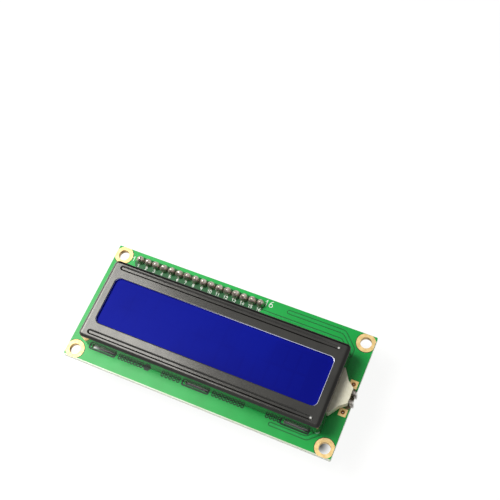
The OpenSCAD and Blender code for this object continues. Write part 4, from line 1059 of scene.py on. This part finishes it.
def partFrame(u, v, halfWidth, halfHeight, corner):
    # a line round a small part, from the middle of its lower side and back to just before it
    left, right, low, high = u - halfWidth, u + halfWidth, v - halfHeight, v + halfHeight
    path = [(u, low), (right, low), (right, high), (left, high), (left, low), (u - 0.02, low)]
    return printed(bent(path, corner), adapterMarks["line"])


adapterInk = [printed(path, width, closed) for path, width, closed in adapterMarks["shapes"]]
adapterInk += [partFrame(u, v, *adapterMarks["uprightSize"]) for u, v in adapterMarks["upright"]]
adapterInk += [partFrame(u, v, *adapterMarks["lyingSize"]) for u, v in adapterMarks["lying"]]
for u in adapterMarks["pairs"]:
    left, right = u - adapterMarks["pairHalf"], u + adapterMarks["pairHalf"]
    around = box(left, right, adapterMarks["pairLow"], adapterMarks["pairHigh"])
    adapterInk.append(printed(around, adapterMarks["line"], closed=True))
makePiece("adapter_outlines", adapterInk, onAdapter, "inkOnBlack")

# marks on the trimmer's body, round its rotor
trimLow = inMm("trimmer_body")[0]
trimMiddle = sum(inMm("trimmer_rotor")) / 2
dial = {
    "from": -30, "to": 210, "step": 20, "inner": 1.8, "outer": 2.5, "line": 0.24, "height": 0.006,
    "ring": (-2.55, -2.3), "ringRadius": 0.3, "ringLine": 0.1,
}


def onTrimmer(points):
    return np.stack(
        [trimMiddle[0] - points[:, 0], trimMiddle[1] + points[:, 1], trimLow[2] - points[:, 2]], 1
    )


dialInk = []
for angle in range(dial["from"], dial["to"] + 1, dial["step"]):
    c, s = math.cos(math.radians(angle)), math.sin(math.radians(angle))
    tick = [(dial["inner"] * c, dial["inner"] * s), (dial["outer"] * c, dial["outer"] * s)]
    dialInk.append(strip(tick, dial["line"], dial["height"]))
ring = arc(dial["ring"], dial["ringRadius"], 0, 360, 17)[:-1]
dialInk.append(strip(ring, dial["ringLine"], dial["height"], closed=True))
makePiece("trimmer_dial", dialInk, onTrimmer, "dialInk")
print("adapter printed")

ground = {
    "half": 1500.0, "below": 0.4, "glow": 0.92, "under": 0.06, "inset": 5.0, "fade": 3.2,
    "paper": (1.0, 1.0, 0.995, 1.0), "bounce": (0.8, 0.8, 0.795, 1.0), "pale": (0.16, 0.16, 0.16, 1.0),
}
studio = {"white": (1.0, 1.0, 1.0, 1.0), "shown": 1.0, "light": 0.09}
floorZ = (cadBounds[0][2] / mm) - ground["below"]
corners = np.array([(-1, -1), (1, -1), (1, 1), (-1, 1)], float) * ground["half"]
floorMesh = bpy.data.meshes.new("floor")
floorMesh.from_pydata([(x * mm, y * mm, floorZ * mm) for x, y in corners], [], [(0, 1, 2, 3)])
floor = bpy.data.objects.new("floor", floorMesh)
bpy.context.scene.collection.objects.link(floor)


def floorPaper():
    # white paper that lights up only for the rays that show it, with a painted shadow right under the board:
    # the glow grows with the distance from the board's outline, drawn in by the inset; from beneath it is
    # clear
    f = Finish("floorPaper")
    x, y, z = f.axes()
    outX = (abs(x) - (boardHigh[0] - ground["inset"])).maths("MAXIMUM", 0.0)
    outY = (abs(y) - (boardHigh[1] - ground["inset"])).maths("MAXIMUM", 0.0)
    away = (outX * outX + outY * outY).maths("SQRT").smooth(0.0, ground["fade"])
    strength = away * (ground["glow"] - ground["under"]) + ground["under"]
    glow = f.add("ShaderNodeEmission", {}, {"Color": ground["paper"], "Strength": strength})
    bounce = f.add("ShaderNodeBsdfDiffuse", {}, {"Color": ground["bounce"]})
    pale = f.add("ShaderNodeBsdfDiffuse", {}, {"Color": ground["pale"]})
    shown = f.add("ShaderNodeAddShader", {}, {0: pale, 1: glow})
    above = f.add("ShaderNodeMixShader", {}, {0: f.shownRays(), 1: bounce, 2: shown})
    clear = f.add("ShaderNodeBsdfTransparent")
    beneath = f.add("ShaderNodeNewGeometry", output="Backfacing")
    return f.end(f.add("ShaderNodeMixShader", {}, {0: beneath, 1: above, 2: clear}))


def studioSky():
    # white for the rays that show it, a faint even light for all others
    f = Finish("studio", world=True)
    light = f.add("ShaderNodeBackground", {}, {"Color": studio["white"], "Strength": studio["light"]})
    plain = f.add("ShaderNodeBackground", {}, {"Color": studio["white"], "Strength": studio["shown"]})
    return f.end(f.add("ShaderNodeMixShader", {}, {0: f.shownRays(), 1: light, 2: plain}))


floorMesh.materials.append(floorPaper())
bpy.context.scene.world = studioSky()
print("floor and world ready")
